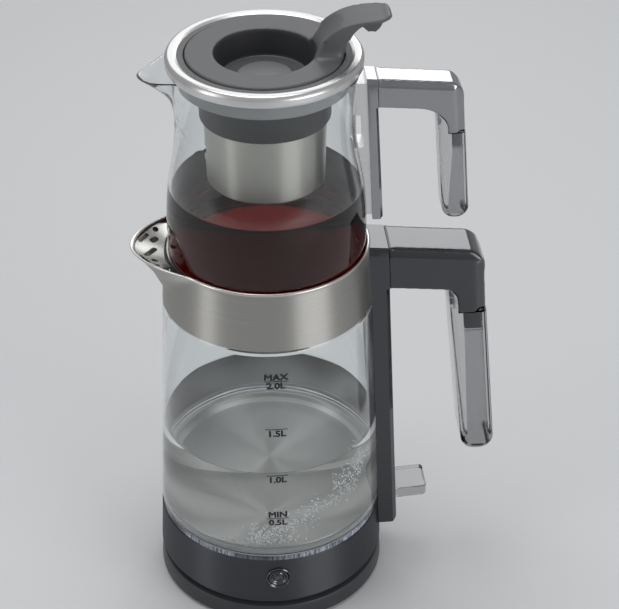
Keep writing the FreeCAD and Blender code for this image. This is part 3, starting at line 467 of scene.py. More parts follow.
FINISHES: dict[Slot, Finish] = {
    # Moulded in a spark-eroded tool: a soft wide sheen that breaks up in a fine grain.
    Slot.BASE: Moulded("moulded_ABS_black", "#35363a", 0.36),
    # Glass-filled nylon, moulded: duller than the cover, so the socket drops back.
    Slot.CONNECTOR: Moulded("moulded_PA_black", "#1b1c1e", 0.5),
    # Compression moulded rubber: no highlight at all, only a coarse dry grain.
    Slot.FOOT: Moulded("moulded_rubber_black", "#1f1f20", 0.75, grain_mm=0.6, grain=0.3),
    # Rolled and zinc plated: small bright heads with a blurred mirror.
    Slot.FASTENER: PlatedMetal("zinc_plated_steel", "#b9babc", 0.3),
    # Turned brass: yellow metal, wiped smooth by the plug.
    Slot.CONTACT: PlatedMetal("turned_brass", "#c9a35a", 0.22),
    # Brushed, then tinted: dark grey with level lines and a highlight drawn upright.
    Slot.DARK_STEEL: BrushedSteel("brushed_steel_tinted", "#56575b", 0.48, line_mm=0.35, stretch=0.9),
    # Brushed round with a fine belt: broad upright bands of light, lines only from near by.
    Slot.COLLAR: BrushedSteel("brushed_steel", "#b9b8b4", 0.48, stretch=0.95),
    # Deep drawn and buffed round: upright bands of light and dark with soft edges.
    Slot.POLISHED: BrushedSteel("buffed_steel", "#c6c4bc", 0.34, stretch=0.95, change=0.03),
    # Spun on a lathe: fine rings that pull the light into a bright wedge through the middle.
    Slot.PLATE: BrushedSteel("spun_steel", "#d6d6d3", 0.36, line_mm=0.5, run=Brushing.RINGS, stretch=0.96),
    # Die cast: grey metal with no clear mirror.
    Slot.ELEMENT: PlatedMetal("cast_aluminium", "#b1b2b4", 0.45),
    # Pressed phenolic: cream, hard and half dull.
    Slot.THERMOSTAT: Moulded("pressed_phenolic", "#cfc6b2", 0.5),
    # Solder lacquer on glass fibre: green with a smooth skin.
    Slot.BOARD: Moulded("lacquered_glass_fibre", "#1e5a35", 0.3),
    # Opal acrylic, lit from inside by small blue lamps: its glow, in ticks, draws a cool line of painted
    # glints.
    Slot.LIGHT: Opal("opal_acrylic", "#22252b", 0.2),
    # Moulded silicone: mid grey with a greasy sheen.
    Slot.SILICONE: Moulded("moulded_silicone", "#8f9091", 0.45, grain=0.05),
    # Blown in a mould: clear, with waves so slow that only its reflections bend.
    Slot.GLASS: Clear("blown_borosilicate", "#f7fafa", 0.0),
    # Metallic lacquer under a clear coat: the silver lacquer's colour, darkened as painted shade. Deep in
    # front, bright where a face looks up.
    Slot.HANDLE_PAINTED_SHADE: Moulded("lacquered_zinc_painted_shade", "#3a3b3f", 0.24, metallic=0.9, coat=1.0, grain=0.0),
    # The same lacquer in its own silver: each round edge draws a bright line.
    Slot.HANDLE_SILVER: Moulded("lacquered_zinc_silver", "#98999c", 0.17, metallic=1.0, coat=0.6, grain=0.0),
    # Moulded acrylic, clear with a grey tint: dark where its walls lie behind each other.
    Slot.GRIP: Clear("moulded_acrylic_smoky", "#cbcccd", 0.0, ior=1.49, wave=0.0, shadow="#9a9c9e"),
    # The same with less tint: bright edges and a clear middle.
    Slot.LEVER: Clear("moulded_acrylic_clear", "#dadbdc", 0.0, ior=1.49, wave=0.0, shadow="#b0b1b2"),
    # Black chrome plate on ABS: a dark mirror with small bright glints.
    Slot.CHROME: PlatedMetal("black_chrome_plated_ABS", "#5c5d61", 0.16),
    # Painted ABS: dark, with a small bright spot in its dish.
    Slot.BUTTON: Moulded("painted_ABS_gunmetal", "#56575b", 0.14, metallic=1.0, coat=0.4, grain=0.0),
    # Satin chrome: bright all round, with its highlights blurred wide.
    Slot.SATIN: PlatedMetal("satin_chrome_plate", "#d8d8d8", 0.3, wave_mm=25.0, wave=0.0),
    # Moulded polypropylene: dull, waxy and even.
    Slot.LID_GREY: Moulded("moulded_PP_grey", "#57585a", 0.40),
    # The same in near black, for the infuser's collar.
    Slot.LID_DARK: Moulded("moulded_PP_black", "#151617", 0.5),
    # The same in light grey, for the vent's disc.
    Slot.VENT: Moulded("moulded_PP_light", "#77787a", 0.4),
    # Screen printed enamel: flat black with crisp edges.
    Slot.INK: Moulded("printed_enamel", "#0c0c0d", 0.45, grain=0.02),
    # Water's upper face: it mirrors the lamps at a low angle and bends what lies below.
    Slot.WATER: Clear("water_surface", "#fbfdfd", 0.0, ior=1.333, wave=0.0, shadow="#f4f6f7"),
    # Black tea: clear amber where it is thin and a deep red brown across the pot.
    Slot.TEA: Clear("black_tea", "#ffffff", 0.0, ior=1.0, wave=0.0, shadow="#d9a68c", depth_tint="#e99000",
                    per_metre=145.0),
}

# Glass with liquid behind it: the two nearly match, so the wall's inner face all but vanishes.
WETTED_GLASS = Clear("borosilicate_wetted", "#ffffff", 0.0, ior=1.10, wave=0.0)
# The rest of a liquid's skin, which the glass's own inner face already stands for.
WATER_BODY = Clear("water_against_glass", "#ffffff", 0.0, ior=1.0, wave=0.0, shadow="#ffffff")
# The tea's upper face, which mirrors the infuser above it.
TEA_SURFACE = Clear("tea_surface", "#ffffff", 0.0, ior=1.335, wave=0.0, shadow="#ffffff")
# Steam in water: each bubble turns nearly all light back; that reflection is painted as a white skin with a
# metal sheen, so a cloud of them looks white.
BUBBLE = Moulded("steam_bubble", "#f6f8fa", 0.15, grain=0.0, metallic=0.3, coat=1.0, change=0.0)
# The bowl's wall, textured deeper than the deck, in a darker grey that is painted shade.
BOWL_PAINTED_SHADE = Moulded("moulded_PP_grey_painted_shade", "#2c2d2f", 0.6, grain=0.2)
# The collar's rolled edge: smoother than the collar, and a lighter steel that is painted highlight, so a
# bright line runs round the mouth.
LIP_PAINTED_HIGHLIGHT = PlatedMetal("lip_steel_painted_highlight", "#d2d1cd", 0.22, wave_mm=30.0, wave=0.0)
# Pressed and vibration finished: grey steel that blurs what it mirrors, so the holes stand out.
TUMBLED = PlatedMetal("tumbled_steel", "#a3a3a0", 0.26, wave_mm=30.0)
# Matt paper: no highlight, so only the object's shadow shows on it.
PAPER = Moulded("matt_paper", "#dadbdd", 0.8, grain=0.0, change=0.0)


# ---- mesh tools -----------------------------------------------------------------------------------


def as_data(name: str, mesh: Mesh) -> bpy.types.Mesh:
    """Turn a mesh into the kind that an object holds.

    Args:
        name: Its name.
        mesh: The mesh, which this call frees.

    Returns:
        The data.
    """
    data = bpy.data.meshes.new(name)
    mesh.to_mesh(data)
    mesh.free()
    return data


def stand(name: str, data: bpy.types.ID) -> bpy.types.Object:
    """Put data into the scene.

    Args:
        name: The object's name.
        data: What it holds.

    Returns:
        The object.
    """
    made = bpy.data.objects.new(name, data)
    bpy.context.scene.collection.objects.link(made)
    return made


def rounded(corners: Sequence[Place], steps: int = 5) -> list[Point]:
    """Round the corners of an outline.

    Args:
        corners: The outline's corners as (r, z, radius), in millimetres.
        steps: Straight runs in each round.

    Returns:
        The outline's points.
    """
    longest = 0.49  # of a run, so that two rounds never meet on it
    points: list[Point] = []
    count = len(corners)
    for index, (r, z, radius) in enumerate(corners):
        here = Vector((r, z))
        if radius <= 0:
            points.append((r, z))
            continue
        before = Vector(corners[index - 1][:2]) - here
        after = Vector(corners[(index + 1) % count][:2]) - here
        half = before.angle(after) / 2
        reach = min(radius / math.tan(half), before.length * longest, after.length * longest)
        first = here + before.normalized() * reach
        last = here + after.normalized() * reach
        for step in range(steps + 1):
            share = step / steps
            point = first.lerp(here, share).lerp(here.lerp(last, share), share)
            points.append((point.x, point.y))
    return points


def spun(outline: Sequence[Point], steps: int = 128) -> Mesh:
    """Revolve a closed outline about Z.

    Args:
        outline: (r, z) points in millimetres.
        steps: Faces round the full turn.

    Returns:
        A closed mesh in metres.
    """
    mesh = bmesh.new()
    corners = [mesh.verts.new((r * MM, 0, z * MM)) for r, z in outline]
    edges = []
    for first, second in zip(corners, corners[1:] + corners[:1]):
        if first.co.x > 0 or second.co.x > 0:
            edges.append(mesh.edges.new((first, second)))
    bmesh.ops.spin(mesh, geom=corners + edges, cent=(0, 0, 0), axis=(0, 0, 1), angle=TURN, steps=steps,
                   use_merge=True)
    bmesh.ops.remove_doubles(mesh, verts=mesh.verts[:], dist=WELD)
    bmesh.ops.recalc_face_normals(mesh, faces=mesh.faces[:])
    return mesh


def cad_copy(node: str) -> Mesh:
    """Copy a CAD node's mesh, merged, with each flat face whole again.

    Args:
        node: The CAD node.

    Returns:
        The copy.
    """
    mesh = bmesh.new()
    mesh.from_mesh(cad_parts[node].data)
    bmesh.ops.remove_doubles(mesh, verts=mesh.verts[:], dist=2 * WELD)
    bmesh.ops.dissolve_limit(mesh, angle_limit=math.radians(FLAT_DEG), verts=mesh.verts[:],
                             edges=mesh.edges[:])
    return mesh


def shift(mesh: Mesh, move: Callable[[Vector], Vector]) -> Mesh:
    """Move each vertex of a mesh by a rule.

    Args:
        mesh: The mesh.
        move: Gives a vertex's new place.

    Returns:
        The same mesh.
    """
    for vertex in mesh.verts:
        vertex.co = move(vertex.co)
    return mesh


def mark(mesh: Mesh, chosen: Callable[[Face], bool]) -> Mesh:
    """Give the chosen faces of a mesh the piece's second finish.

    Args:
        mesh: The mesh.
        chosen: Says of a face whether it is one of them.

    Returns:
        The same mesh.
    """
    for face in mesh.faces:
        if chosen(face):
            face.material_index = 1
    return mesh


def remeshed(mesh: Mesh, voxel_mm: float) -> Mesh:
    """Cover a closed body with small even faces.

    Args:
        mesh: The body in metres, which this call frees.
        voxel_mm: The faces' size.

    Returns:
        The new mesh.
    """
    data = as_data("rough", mesh)
    rough = stand("rough", data)
    even = rough.modifiers.new("even", "REMESH")
    even.mode = "VOXEL"
    even.voxel_size = voxel_mm * MM
    covered = bpy.data.meshes.new_from_object(rough.evaluated_get(bpy.context.evaluated_depsgraph_get()))
    made = bmesh.new()
    made.from_mesh(covered)
    bpy.data.objects.remove(rough)
    bpy.data.meshes.remove(data)
    bpy.data.meshes.remove(covered)
    return made


def soften(mesh: Mesh, turns: int, chosen: Callable[[Vector], bool] = lambda place: True) -> None:
    """Smooth the chosen points of a mesh, or all of them.

    Args:
        mesh: The mesh.
        turns: How often each point moves half way to the middle of its neighbours.
        chosen: Says of a place, in millimetres, whether it is smoothed.
    """
    verts = [vertex for vertex in mesh.verts if chosen(vertex.co / MM)]
    for _ in range(turns):
        bmesh.ops.smooth_vert(mesh, verts=verts, factor=0.5, use_axis_x=True, use_axis_y=True,
                              use_axis_z=True)


def publish(name: str, mesh: Mesh, body: Body, finish: Finish,
            replaced: Sequence[str] = (), bevel_mm: float = 0.0, crease_deg: float = 32.0,
            second: Finish | None = None) -> None:
    """Turn a mesh into a finished piece of the object.

    Args:
        name: The piece's name.
        mesh: Its shape in metres, which this call frees.
        body: The body it rides on.
        finish: What it is made of.
        replaced: The CAD nodes that the piece stands for.
        bevel_mm: Radius of its rounded edges.
        crease_deg: Edges sharper than this stay sharp.
        second: The finish of its marked faces.
    """
    crease = math.radians(crease_deg)
    for face in mesh.faces:
        face.smooth = True
    for edge in mesh.edges:
        edge.smooth = edge.is_manifold and edge.calc_face_angle(math.pi) < crease
    piece = stand(name, as_data(name, mesh))
    piece.data.materials.append(finish.material())
    if second:
        piece.data.materials.append(second.material())
    if bevel_mm:
        bevel = piece.modifiers.new("edges", "BEVEL")
        bevel.width = bevel_mm * MM
        bevel.segments = BEVEL_STEPS
        bevel.limit_method = "ANGLE"
        bevel.angle_limit = math.radians(BEVEL_DEG)
        bevel.harden_normals = True
    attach(piece, body.value)
    if replaced:
        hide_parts(*replaced)
    LOG.info("%s on %s", name, body.value)


def dress(body: Body, slot: Slot, *nodes: str) -> None:
    """Give CAD nodes that keep their own shape their material.

    Args:
        body: The body that they ride on.
        slot: Their finish.
        *nodes: The CAD nodes.
    """
    for node in nodes:
        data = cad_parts[node].data
        data.materials.clear()
        data.materials.append(FINISHES[slot].material())
        LOG.info("%s keeps its solid on %s", node, body.value)


def resurface(body: Body, slot: Slot, bevel_mm: float, *nodes: str) -> None:
    """Stand a smooth, softly edged copy in for each CAD node.

    Args:
        body: The body that they ride on.
        slot: Their finish.
        bevel_mm: Radius of their rounded edges.
        *nodes: The CAD nodes.
    """
    for node in nodes:
        publish(node + "_finished", cad_copy(node), body, FINISHES[slot], (node,), bevel_mm)


def recast(node: str, body: Body, slot: Slot, voxel_mm: float, turns: int, seam_x: float) -> None:
    """Stand a copy with the wide round edges of a casting in for a CAD node.

    Args:
        node: The CAD node.
        body: The body it rides on.
        slot: Its finish.
        voxel_mm: Size of the copy's faces.
        turns: How often it is smoothed, and so how wide its rounds are.
        seam_x: Where its flat end stops, in millimetres. That end stays crisp.
    """
    copy = remeshed(cad_copy(node), voxel_mm)
    soften(copy, DESTEP_TURNS)
    soften(copy, turns, lambda place: place.x > seam_x)
    publish(node + "_finished", copy, body, FINISHES[slot], (node,), crease_deg=CAST_CREASE_DEG)


def kettle_radius(z: float) -> float:
    """The kettle's outer radius at a height, both in millimetres."""
    return KETTLE_R - KETTLE_TAPER * (z - KETTLE_Z)


def beak_radius(turn: float, nose: float, focal: float) -> float:
    """Distance from the Z axis to a beak's wall.

    Args:
        turn: Angle from the beak's own direction.
        nose: How far out the beak's nose is at this height.
        focal: Focal radius of its parabola in plan.

    Returns:
        The distance in the units of nose, or nought where the wall isn't met.
    """
    straight = 1e-9  # less bend than this is none
    sideways = 0.05  # the cosine of a turn at which the wall is no longer met
    bend = math.sin(turn) ** 2 / (2 * focal)
    side = math.cos(turn)
    if bend < straight:
        return nose if side > 0 else 0.0
    return (math.sqrt(side * side + 4 * bend * nose) - side) / (2 * bend) if side > sideways else 0.0


def along(keel: Sequence[Point], z: float) -> float:
    """How far out a keel is at a height, straight between its points.

    Args:
        keel: Its points as (z, x), from low to high.
        z: The height.

    Returns:
        The distance from the Z axis.
    """
    pairs = list(zip(keel, keel[1:]))
    (z0, x0), (z1, x1) = next(((low, high) for low, high in pairs if z <= high[0]), pairs[-1])
    return x0 + (x1 - x0) * (z - z0) / (z1 - z0)


def soft_max(first: float, second: float, blend: float) -> float:
    """The larger of two numbers, with a round of the given size where they cross."""
    near = max(blend - abs(first - second), 0.0) / blend
    return max(first, second) + near * near * blend / 4


def within(face: Face, wall_at: Callable[[float], float], low: float, high: float) -> bool:
    """Say whether a face of a glass is on its inside, between two heights.

    Args:
        face: The face.
        wall_at: Radius of the middle of the glass's wall at a height, in millimetres.
        low: The lower height.
        high: The upper height.

    Returns:
        Whether it is.
    """
    centre = face.calc_center_median() / MM
    return math.hypot(centre.x, centre.y) < wall_at(centre.z) and low < centre.z < high


def liquid_top(edge: float, level: float, climb: float, curve: Sequence[Point]) -> list[Point]:
    """A liquid's upper face, from the glass to the middle."""
    return [(edge, level + climb)] + [(edge - away, level + up) for away, up in curve] + [(0.0, level)]


def against_glass(face: Face) -> bool:
    """Say whether a liquid's face isn't part of its upper face."""
    return face.normal.z < SKIN_SLOPE


# ---- power base -----------------------------------------------------------------------------------


@dataclass
class PowerBase:
    """The round base that the kettle stands on."""

    edge_mm: float = 0.3

    def build(self) -> None:
        """Finish the cover, floor, feet, screws, connector and gland."""
        resurface(Body.BASE, Slot.BASE, 0.0, "base_cover")
        resurface(Body.BASE, Slot.CONNECTOR, self.edge_mm, "base_floor", "base_connector")
        resurface(Body.BASE, Slot.FOOT, self.edge_mm, "rubber_feet", "cord_gland")
        dress(Body.BASE, Slot.FASTENER, "base_screws")
        dress(Body.BASE, Slot.CONTACT, "contact_rings")


# ---- kettle ---------------------------------------------------------------------------------------


@dataclass
class KettleFoot:
    """The steel housing with the heater, its light ring and the button."""

    bezel_edge: float = 0.15
    button_z: float = 38.2
    button_y: float = -74.86
    button_steps: int = 64
    button_crease: float = 40.0
    button: tuple[Point, ...] = (
        (0.0, -1.9), (1.7, -1.75), (2.3, -1.35), (2.7, -1.15), (3.1, -1.35), (3.6, -1.75), (4.2, -1.55),
        (4.8, -0.9), (5.2, -0.25), (5.8, 0.0), (6.3, -0.2), (6.5, -0.7), (6.5, -5.0), (2.5, -5.0),
        (2.5, -11.06), (0.0, -11.06))

    def turned_button(self) -> Mesh:
        """Turn the button, with its dish and a ring in it, and face it forwards.

        Returns:
            The button in its place.
        """
        mesh = spun(self.button, self.button_steps)
        bmesh.ops.rotate(mesh, verts=mesh.verts[:], matrix=Matrix.Rotation(TURN / 4, 3, "X"))
        bmesh.ops.translate(mesh, verts=mesh.verts[:], vec=(0, self.button_y * MM, self.button_z * MM))
        return mesh

    def build(self) -> None:
        """Finish the foot's pieces."""
        for slot, node in ((Slot.DARK_STEEL, "heater_housing"), (Slot.BASE, "kettle_bottom"),
                           (Slot.CONNECTOR, "kettle_socket"), (Slot.PLATE, "heating_plate"),
                           (Slot.LIGHT, "light_ring"), (Slot.SILICONE, "glass_gasket")):
            resurface(Body.KETTLE, slot, 0.0, node)
        dress(Body.KETTLE, Slot.ELEMENT, "heating_element")
        dress(Body.KETTLE, Slot.THERMOSTAT, "thermal_cutout")
        dress(Body.KETTLE, Slot.BOARD, "control_board")
        resurface(Body.KETTLE, Slot.CHROME, self.bezel_edge, "button_bezel")
        publish("power_button_turned", self.turned_button(), Body.BUTTON, FINISHES[Slot.BUTTON],
                ("power_button",), crease_deg=self.button_crease)


@dataclass
class Simmer:
    """Clouds of small bubbles, dense at the plate's front and thinner up the right side."""

    seed: int = 7
    clouds: int = 64
    cloud_size: int = 18
    crowding: float = 1.3
    first_deg: float = -110.0
    sweep_deg: float = 76.0
    low_z: float = 57.0
    rise_z: float = 52.0
    low_r: float = 59.0
    rise_r: float = 8.0
    cloud_spread: Point = (8.0, 4.0)
    bubble_spread: Place = (3.6, 2.6, 3.0)
    bubble_r: Point = (0.25, 0.7)
    floor_z: float = 53.6
    under_skin: float = 1.6
    ledge_z: float = 63.0
    ledge_r: float = 62.0
    off_glass: float = 1.4

    def bubbles(self, inner: Callable[[float], float], water_z: float) -> Mesh:
        """Scatter the bubbles in the water.

        Args:
            inner: The glass's inner radius at a height, in millimetres.
            water_z: The water's height.

        Returns:
            All the bubbles in one mesh, in metres.
        """
        chance = random.Random(self.seed)
        ball = bmesh.new()
        bmesh.ops.create_icosphere(ball, subdivisions=2, radius=MM)
        bubble = as_data("bubble", ball)
        mesh = bmesh.new()
        for _ in range(self.clouds):
            rise = chance.random() ** self.crowding
            middle_deg = self.first_deg + self.sweep_deg * rise + chance.gauss(0, self.cloud_spread[0])
            middle_z = self.low_z + rise * self.rise_z + chance.gauss(0, self.cloud_spread[1])
            for _ in range(self.cloud_size):
                turn = math.radians(middle_deg) + math.radians(chance.gauss(0, self.bubble_spread[0]))
                z = max(middle_z + chance.gauss(0, self.bubble_spread[1]), self.floor_z)
                z = min(z, water_z - self.under_skin)
                limit = inner(z) - self.off_glass if z > self.ledge_z else self.ledge_r
                out = min(self.low_r + rise * self.rise_r + chance.gauss(0, self.bubble_spread[2]), limit)
                spot = Matrix.Translation((out * math.cos(turn) * MM, out * math.sin(turn) * MM, z * MM))
                placed = bubble.copy()
                placed.transform(spot @ Matrix.Scale(chance.uniform(*self.bubble_r), 4))
                mesh.from_mesh(placed)
                bpy.data.meshes.remove(placed)
        bpy.data.meshes.remove(bubble)
        return mesh


@dataclass
class KettleGlass:
    """The kettle's tapered glass wall and the water in it."""

    foot_z: float = 57.0
    foot_rounds: Point = (0.6, 0.9)
    shoulder_z: float = 212.6
    shoulder_rise: float = 3.4
    inner_step: float = 2.0
    bend_round: float = 3.0
    neck_r: float = 64.6
    neck_top: float = 226.0
    rim_round: float = 0.8
    wall: float = 2.5
    pool: tuple[Point, ...] = ((0.0, 52.05), (62.6, 52.05), (65.7, 55.1), (65.7, 61.08))
    seat_z: float = 61.1
    water_z: float = 121.0
    climb: float = 1.3
    curve: tuple[Point, ...] = ((0.5, 0.6), (1.3, 0.15), (2.6, 0.0))
    bite: float = 0.12  # how far the water's skin goes into the glass, so that no gap shows

    def inner(self, z: float) -> float:
        """The glass's inner radius at a height."""
        return kettle_radius(z) - self.wall

    def outline(self) -> list[Point]:
        """The wall's outline, which narrows to a neck inside the collar.

        Returns:
            Its points, with one where the water ends.
        """
        low, high, shore = self.foot_z, self.shoulder_z, self.water_z + self.climb
        neck_in = self.neck_r - self.wall
        return rounded([
            (self.inner(low), low, self.foot_rounds[0]), (kettle_radius(low), low, self.foot_rounds[1]),
            (kettle_radius(high), high, self.bend_round),
            (self.neck_r, high + self.shoulder_rise, self.bend_round),
            (self.neck_r, self.neck_top, self.rim_round), (neck_in, self.neck_top, self.rim_round),
            (neck_in, high + self.inner_step, self.bend_round),
            (self.inner(high), high - self.inner_step, self.bend_round),
            (self.inner(shore), shore, 0.0), (self.inner(self.seat_z), self.seat_z, 0.0)])

    def water(self) -> list[Point]:
        """The water's outline, which climbs the glass a little at its edge.

        Returns:
            Its points, from the middle of the plate up and back to the axis.
        """
        side = [(self.inner(self.seat_z) + self.bite, self.seat_z)]
        top = liquid_top(self.inner(self.water_z) + self.bite, self.water_z, self.climb, self.curve)
        return list(self.pool) + side + top

    def wetted(self, face: Face) -> bool:
        """Say whether a face of the glass has water against it."""
        shore = self.water_z + self.climb
        return within(face, lambda z: kettle_radius(z) - self.wall / 2, self.seat_z, shore)

    def build(self) -> None:
        """Blow the glass, fill it and let it simmer."""
        publish("kettle_glass_wall", mark(spun(self.outline()), self.wetted), Body.KETTLE,
                FINISHES[Slot.GLASS], ("kettle_glass",), second=WETTED_GLASS)
        publish("water", mark(spun(self.water()), against_glass), Body.KETTLE, FINISHES[Slot.WATER],
                second=WATER_BODY)
        # White bubbles: their colour is painted reflection.
        publish("simmering_bubbles", Simmer().bubbles(self.inner, self.water_z), Body.KETTLE, BUBBLE,
                crease_deg=90.0)


@dataclass
class Collar:
    """The brushed collar with its rolled lip, which runs on round the spout."""

    foot_z: float = 214.6
    plain_z: float = 218.0
    fine_z: float = 221.0
    fine_steps: int = 14
    lip_z: float = 252.0
    lip_r: float = 64.3
    sheet: float = 1.0
    bead: float = 1.25
    bead_out: float = 0.35
    bead_low: float = 1.3  # times the bead's radius, from the top down to where it starts
    bead_deg: Point = (-12.0, 222.0)  # where its round starts, and how far it turns
    bead_steps: int = 12
    top_z: float = 254.6
    focal: float = 24.0
    keel: tuple[Point, ...] = ((222.0, 63.5), (229.0, 68.2), (240.0, 73.6), (249.0, 80.6), (256.0, 87.4))
    blend: float = 1.6
    steps: int = 180
    crease: float = 60.0

    def bead_z(self) -> float:
        """The height at which the bead starts."""
        return self.top_z - self.bead * self.bead_low

    def wall_radius(self, z: float) -> float:
        """The collar's outer radius, away from the spout."""
        low = kettle_radius(self.foot_z)
        return low + (self.lip_r - low) * (z - self.foot_z) / (self.lip_z - self.foot_z)

    def heights(self) -> list[float]:
        """Where the section has points: close together where the spout grows out of it."""
        step = (self.bead_z() - self.fine_z) / self.fine_steps
        return [self.foot_z, self.plain_z] + [self.fine_z + step * i for i in range(self.fine_steps + 1)]

    def outline(self) -> list[Point]:
        """The sheet's section: up the outside, over the bead and down the inside.

        Returns:
            Its points.
        """
        outer = [(self.wall_radius(z), z) for z in self.heights()]
        middle_z = self.top_z - self.bead
        middle_r = self.wall_radius(middle_z) - self.bead + self.bead_out
        start, sweep = self.bead_deg
        bead = []
        for step in range(1, self.bead_steps):
            turn = math.radians(start + sweep * step / self.bead_steps)
            bead.append((middle_r + self.bead * math.cos(turn), middle_z + self.bead * math.sin(turn)))
        inner = [(r - self.sheet, z) for r, z in reversed(outer)]
        return outer + bead + inner

    def flare(self, place: Vector) -> Vector:
        """Push a point of the plain collar out to the spout's wall.

        Args:
            place: The point, in metres.

        Returns:
            Its new place.
        """
        turn = math.atan2(place.y, -place.x)
        z = place.z / MM
        wall = self.wall_radius(min(z, self.lip_z))
        reach = beak_radius(turn, along(self.keel, z), self.focal)
        out = (soft_max(wall, reach, self.blend) - wall) * MM if reach else 0.0
        flat = Vector((place.x, place.y, 0))
        return place + flat.normalized() * out

    def build(self) -> None:
        """Roll the collar and finish what sits in its mouth."""
        mesh = shift(spun(self.outline(), self.steps), self.flare)
        bmesh.ops.recalc_face_normals(mesh, faces=mesh.faces[:])
        # The bead's faces take the lighter steel: a painted highlight.
        mark(mesh, lambda face: face.calc_center_median().z > self.bead_z() * MM)
        publish("collar_and_spout", mesh, Body.KETTLE, FINISHES[Slot.COLLAR],
                ("kettle_collar", "kettle_spout"), crease_deg=self.crease, second=LIP_PAINTED_HIGHLIGHT)
        for node in ("spout_strainer", "pot_seat"):
            publish(node + "_finished", cad_copy(node), Body.KETTLE, TUMBLED, (node,))
        resurface(Body.KETTLE, Slot.SILICONE, 0.0, "mouth_seal")


@dataclass
class LitreScale:
    """The printed scale on the glass's front."""

    marks: tuple[tuple[float, str, str], ...] = (
        (87.2, "0.5L", "MIN"), (121.2, "1.0L", ""), (156.9, "1.5L", ""), (192.8, "2.0L", "MAX"))
    line_w: float = 14.0
    line_h: float = 0.55
    line_runs: int = 12
    letter_h: float = 4.3
    capital: float = 0.7  # a capital's height as a share of the type's size
    gap: float = 1.0
    film: float = 0.05
    stroke: float = 0.26
    widen: float = 1.12
    crease: float = 20.0

    def word(self, text: str) -> Mesh:
        """Set a word flat in XZ, centred on nought, with its foot at nought.

        Args:
            text: The word.

        Returns:
            The word as a thin closed body, in metres.
        """
        curve = bpy.data.curves.new("type", "FONT")
        curve.body = text
        curve.align_x = "CENTER"
        curve.size = self.letter_h / self.capital * MM
        curve.bevel_depth = self.stroke * MM
        curve.bevel_resolution = 0
        curve.resolution_u = 4
        setting = stand("type", curve)
        bpy.context.view_layer.update()
        raised = bpy.data.meshes.new_from_object(setting)
        mesh = bmesh.new()
        mesh.from_mesh(raised)
        bpy.data.objects.remove(setting)
        bpy.data.curves.remove(curve)
        bpy.data.meshes.remove(raised)
        flatten = self.film / (2 * self.stroke)
        return shift(mesh, lambda place: Vector((place.x * self.widen, place.z * flatten, place.y)))

    def line(self) -> Mesh:
        """A level line of its own thickness, in short runs so that it can bend.

        Returns:
            The line, flat in XZ, in metres.
        """
        mesh = bmesh.new()
        bmesh.ops.create_grid(mesh, x_segments=self.line_runs, y_segments=1, size=0.5)
        bmesh.ops.solidify(mesh, geom=mesh.faces[:], thickness=1.0)
        size = Vector((self.line_w, self.film, self.line_h)) * MM
        return shift(mesh, lambda place: Vector((place.x * size.x, place.z * size.y, place.y * size.z)))

    def wrap(self, place: Vector) -> Vector:
        """Bend a point of the flat print on to the glass's front.

        Args:
            place: The point, in metres.

        Returns:
            Its new place.
        """
        glass = kettle_radius(place.z / MM) * MM
        turn = place.x / glass
        radius = glass + self.film * MM - place.y
        return Vector((radius * math.sin(turn), -radius * math.cos(turn), place.z))

    def build(self) -> None:
        """Print every line and word and bend them round the glass."""
        sheet = bmesh.new()
        for z, litres, limit in self.marks:
            parts = [(self.line(), z), (self.word(litres), z - self.gap - self.letter_h)]
            if limit:
                parts.append((self.word(limit), z + self.gap))
            for part, height in parts:
                bmesh.ops.translate(part, verts=part.verts[:], vec=(0, 0, height * MM))
                data = as_data("type", part)
                sheet.from_mesh(data)
                bpy.data.meshes.remove(data)
        bmesh.ops.remove_doubles(sheet, verts=sheet.verts[:], dist=WELD / 10)
        shift(sheet, self.wrap)
        bmesh.ops.recalc_face_normals(sheet, faces=sheet.faces[:])
        publish("litre_marks", sheet, Body.KETTLE, FINISHES[Slot.INK], crease_deg=self.crease)


@dataclass
class KettleHandle:
    """The kettle's spine, arm and clear grip, with the switch lever."""

    spine_edge: float = 1.2
    voxel: float = 0.75
    turns: int = 14
    seam_x: float = 77.6

    def build(self) -> None:
        """Finish the handle's pieces."""
        # The spine and the arm take the lacquer darkened as painted shade.
        resurface(Body.KETTLE, Slot.HANDLE_PAINTED_SHADE, self.spine_edge, "kettle_spine")
        recast("kettle_arm", Body.KETTLE, Slot.HANDLE_PAINTED_SHADE, self.voxel, self.turns, self.seam_x)
        resurface(Body.KETTLE, Slot.GRIP, 0.0, "kettle_grip")
        dress(Body.KETTLE, Slot.FASTENER, "handle_screws", "lever_pin")
        resurface(Body.SWITCH, Slot.LEVER, 0.0, "switch_lever")


# ---- teapot ---------------------------------------------------------------------------------------


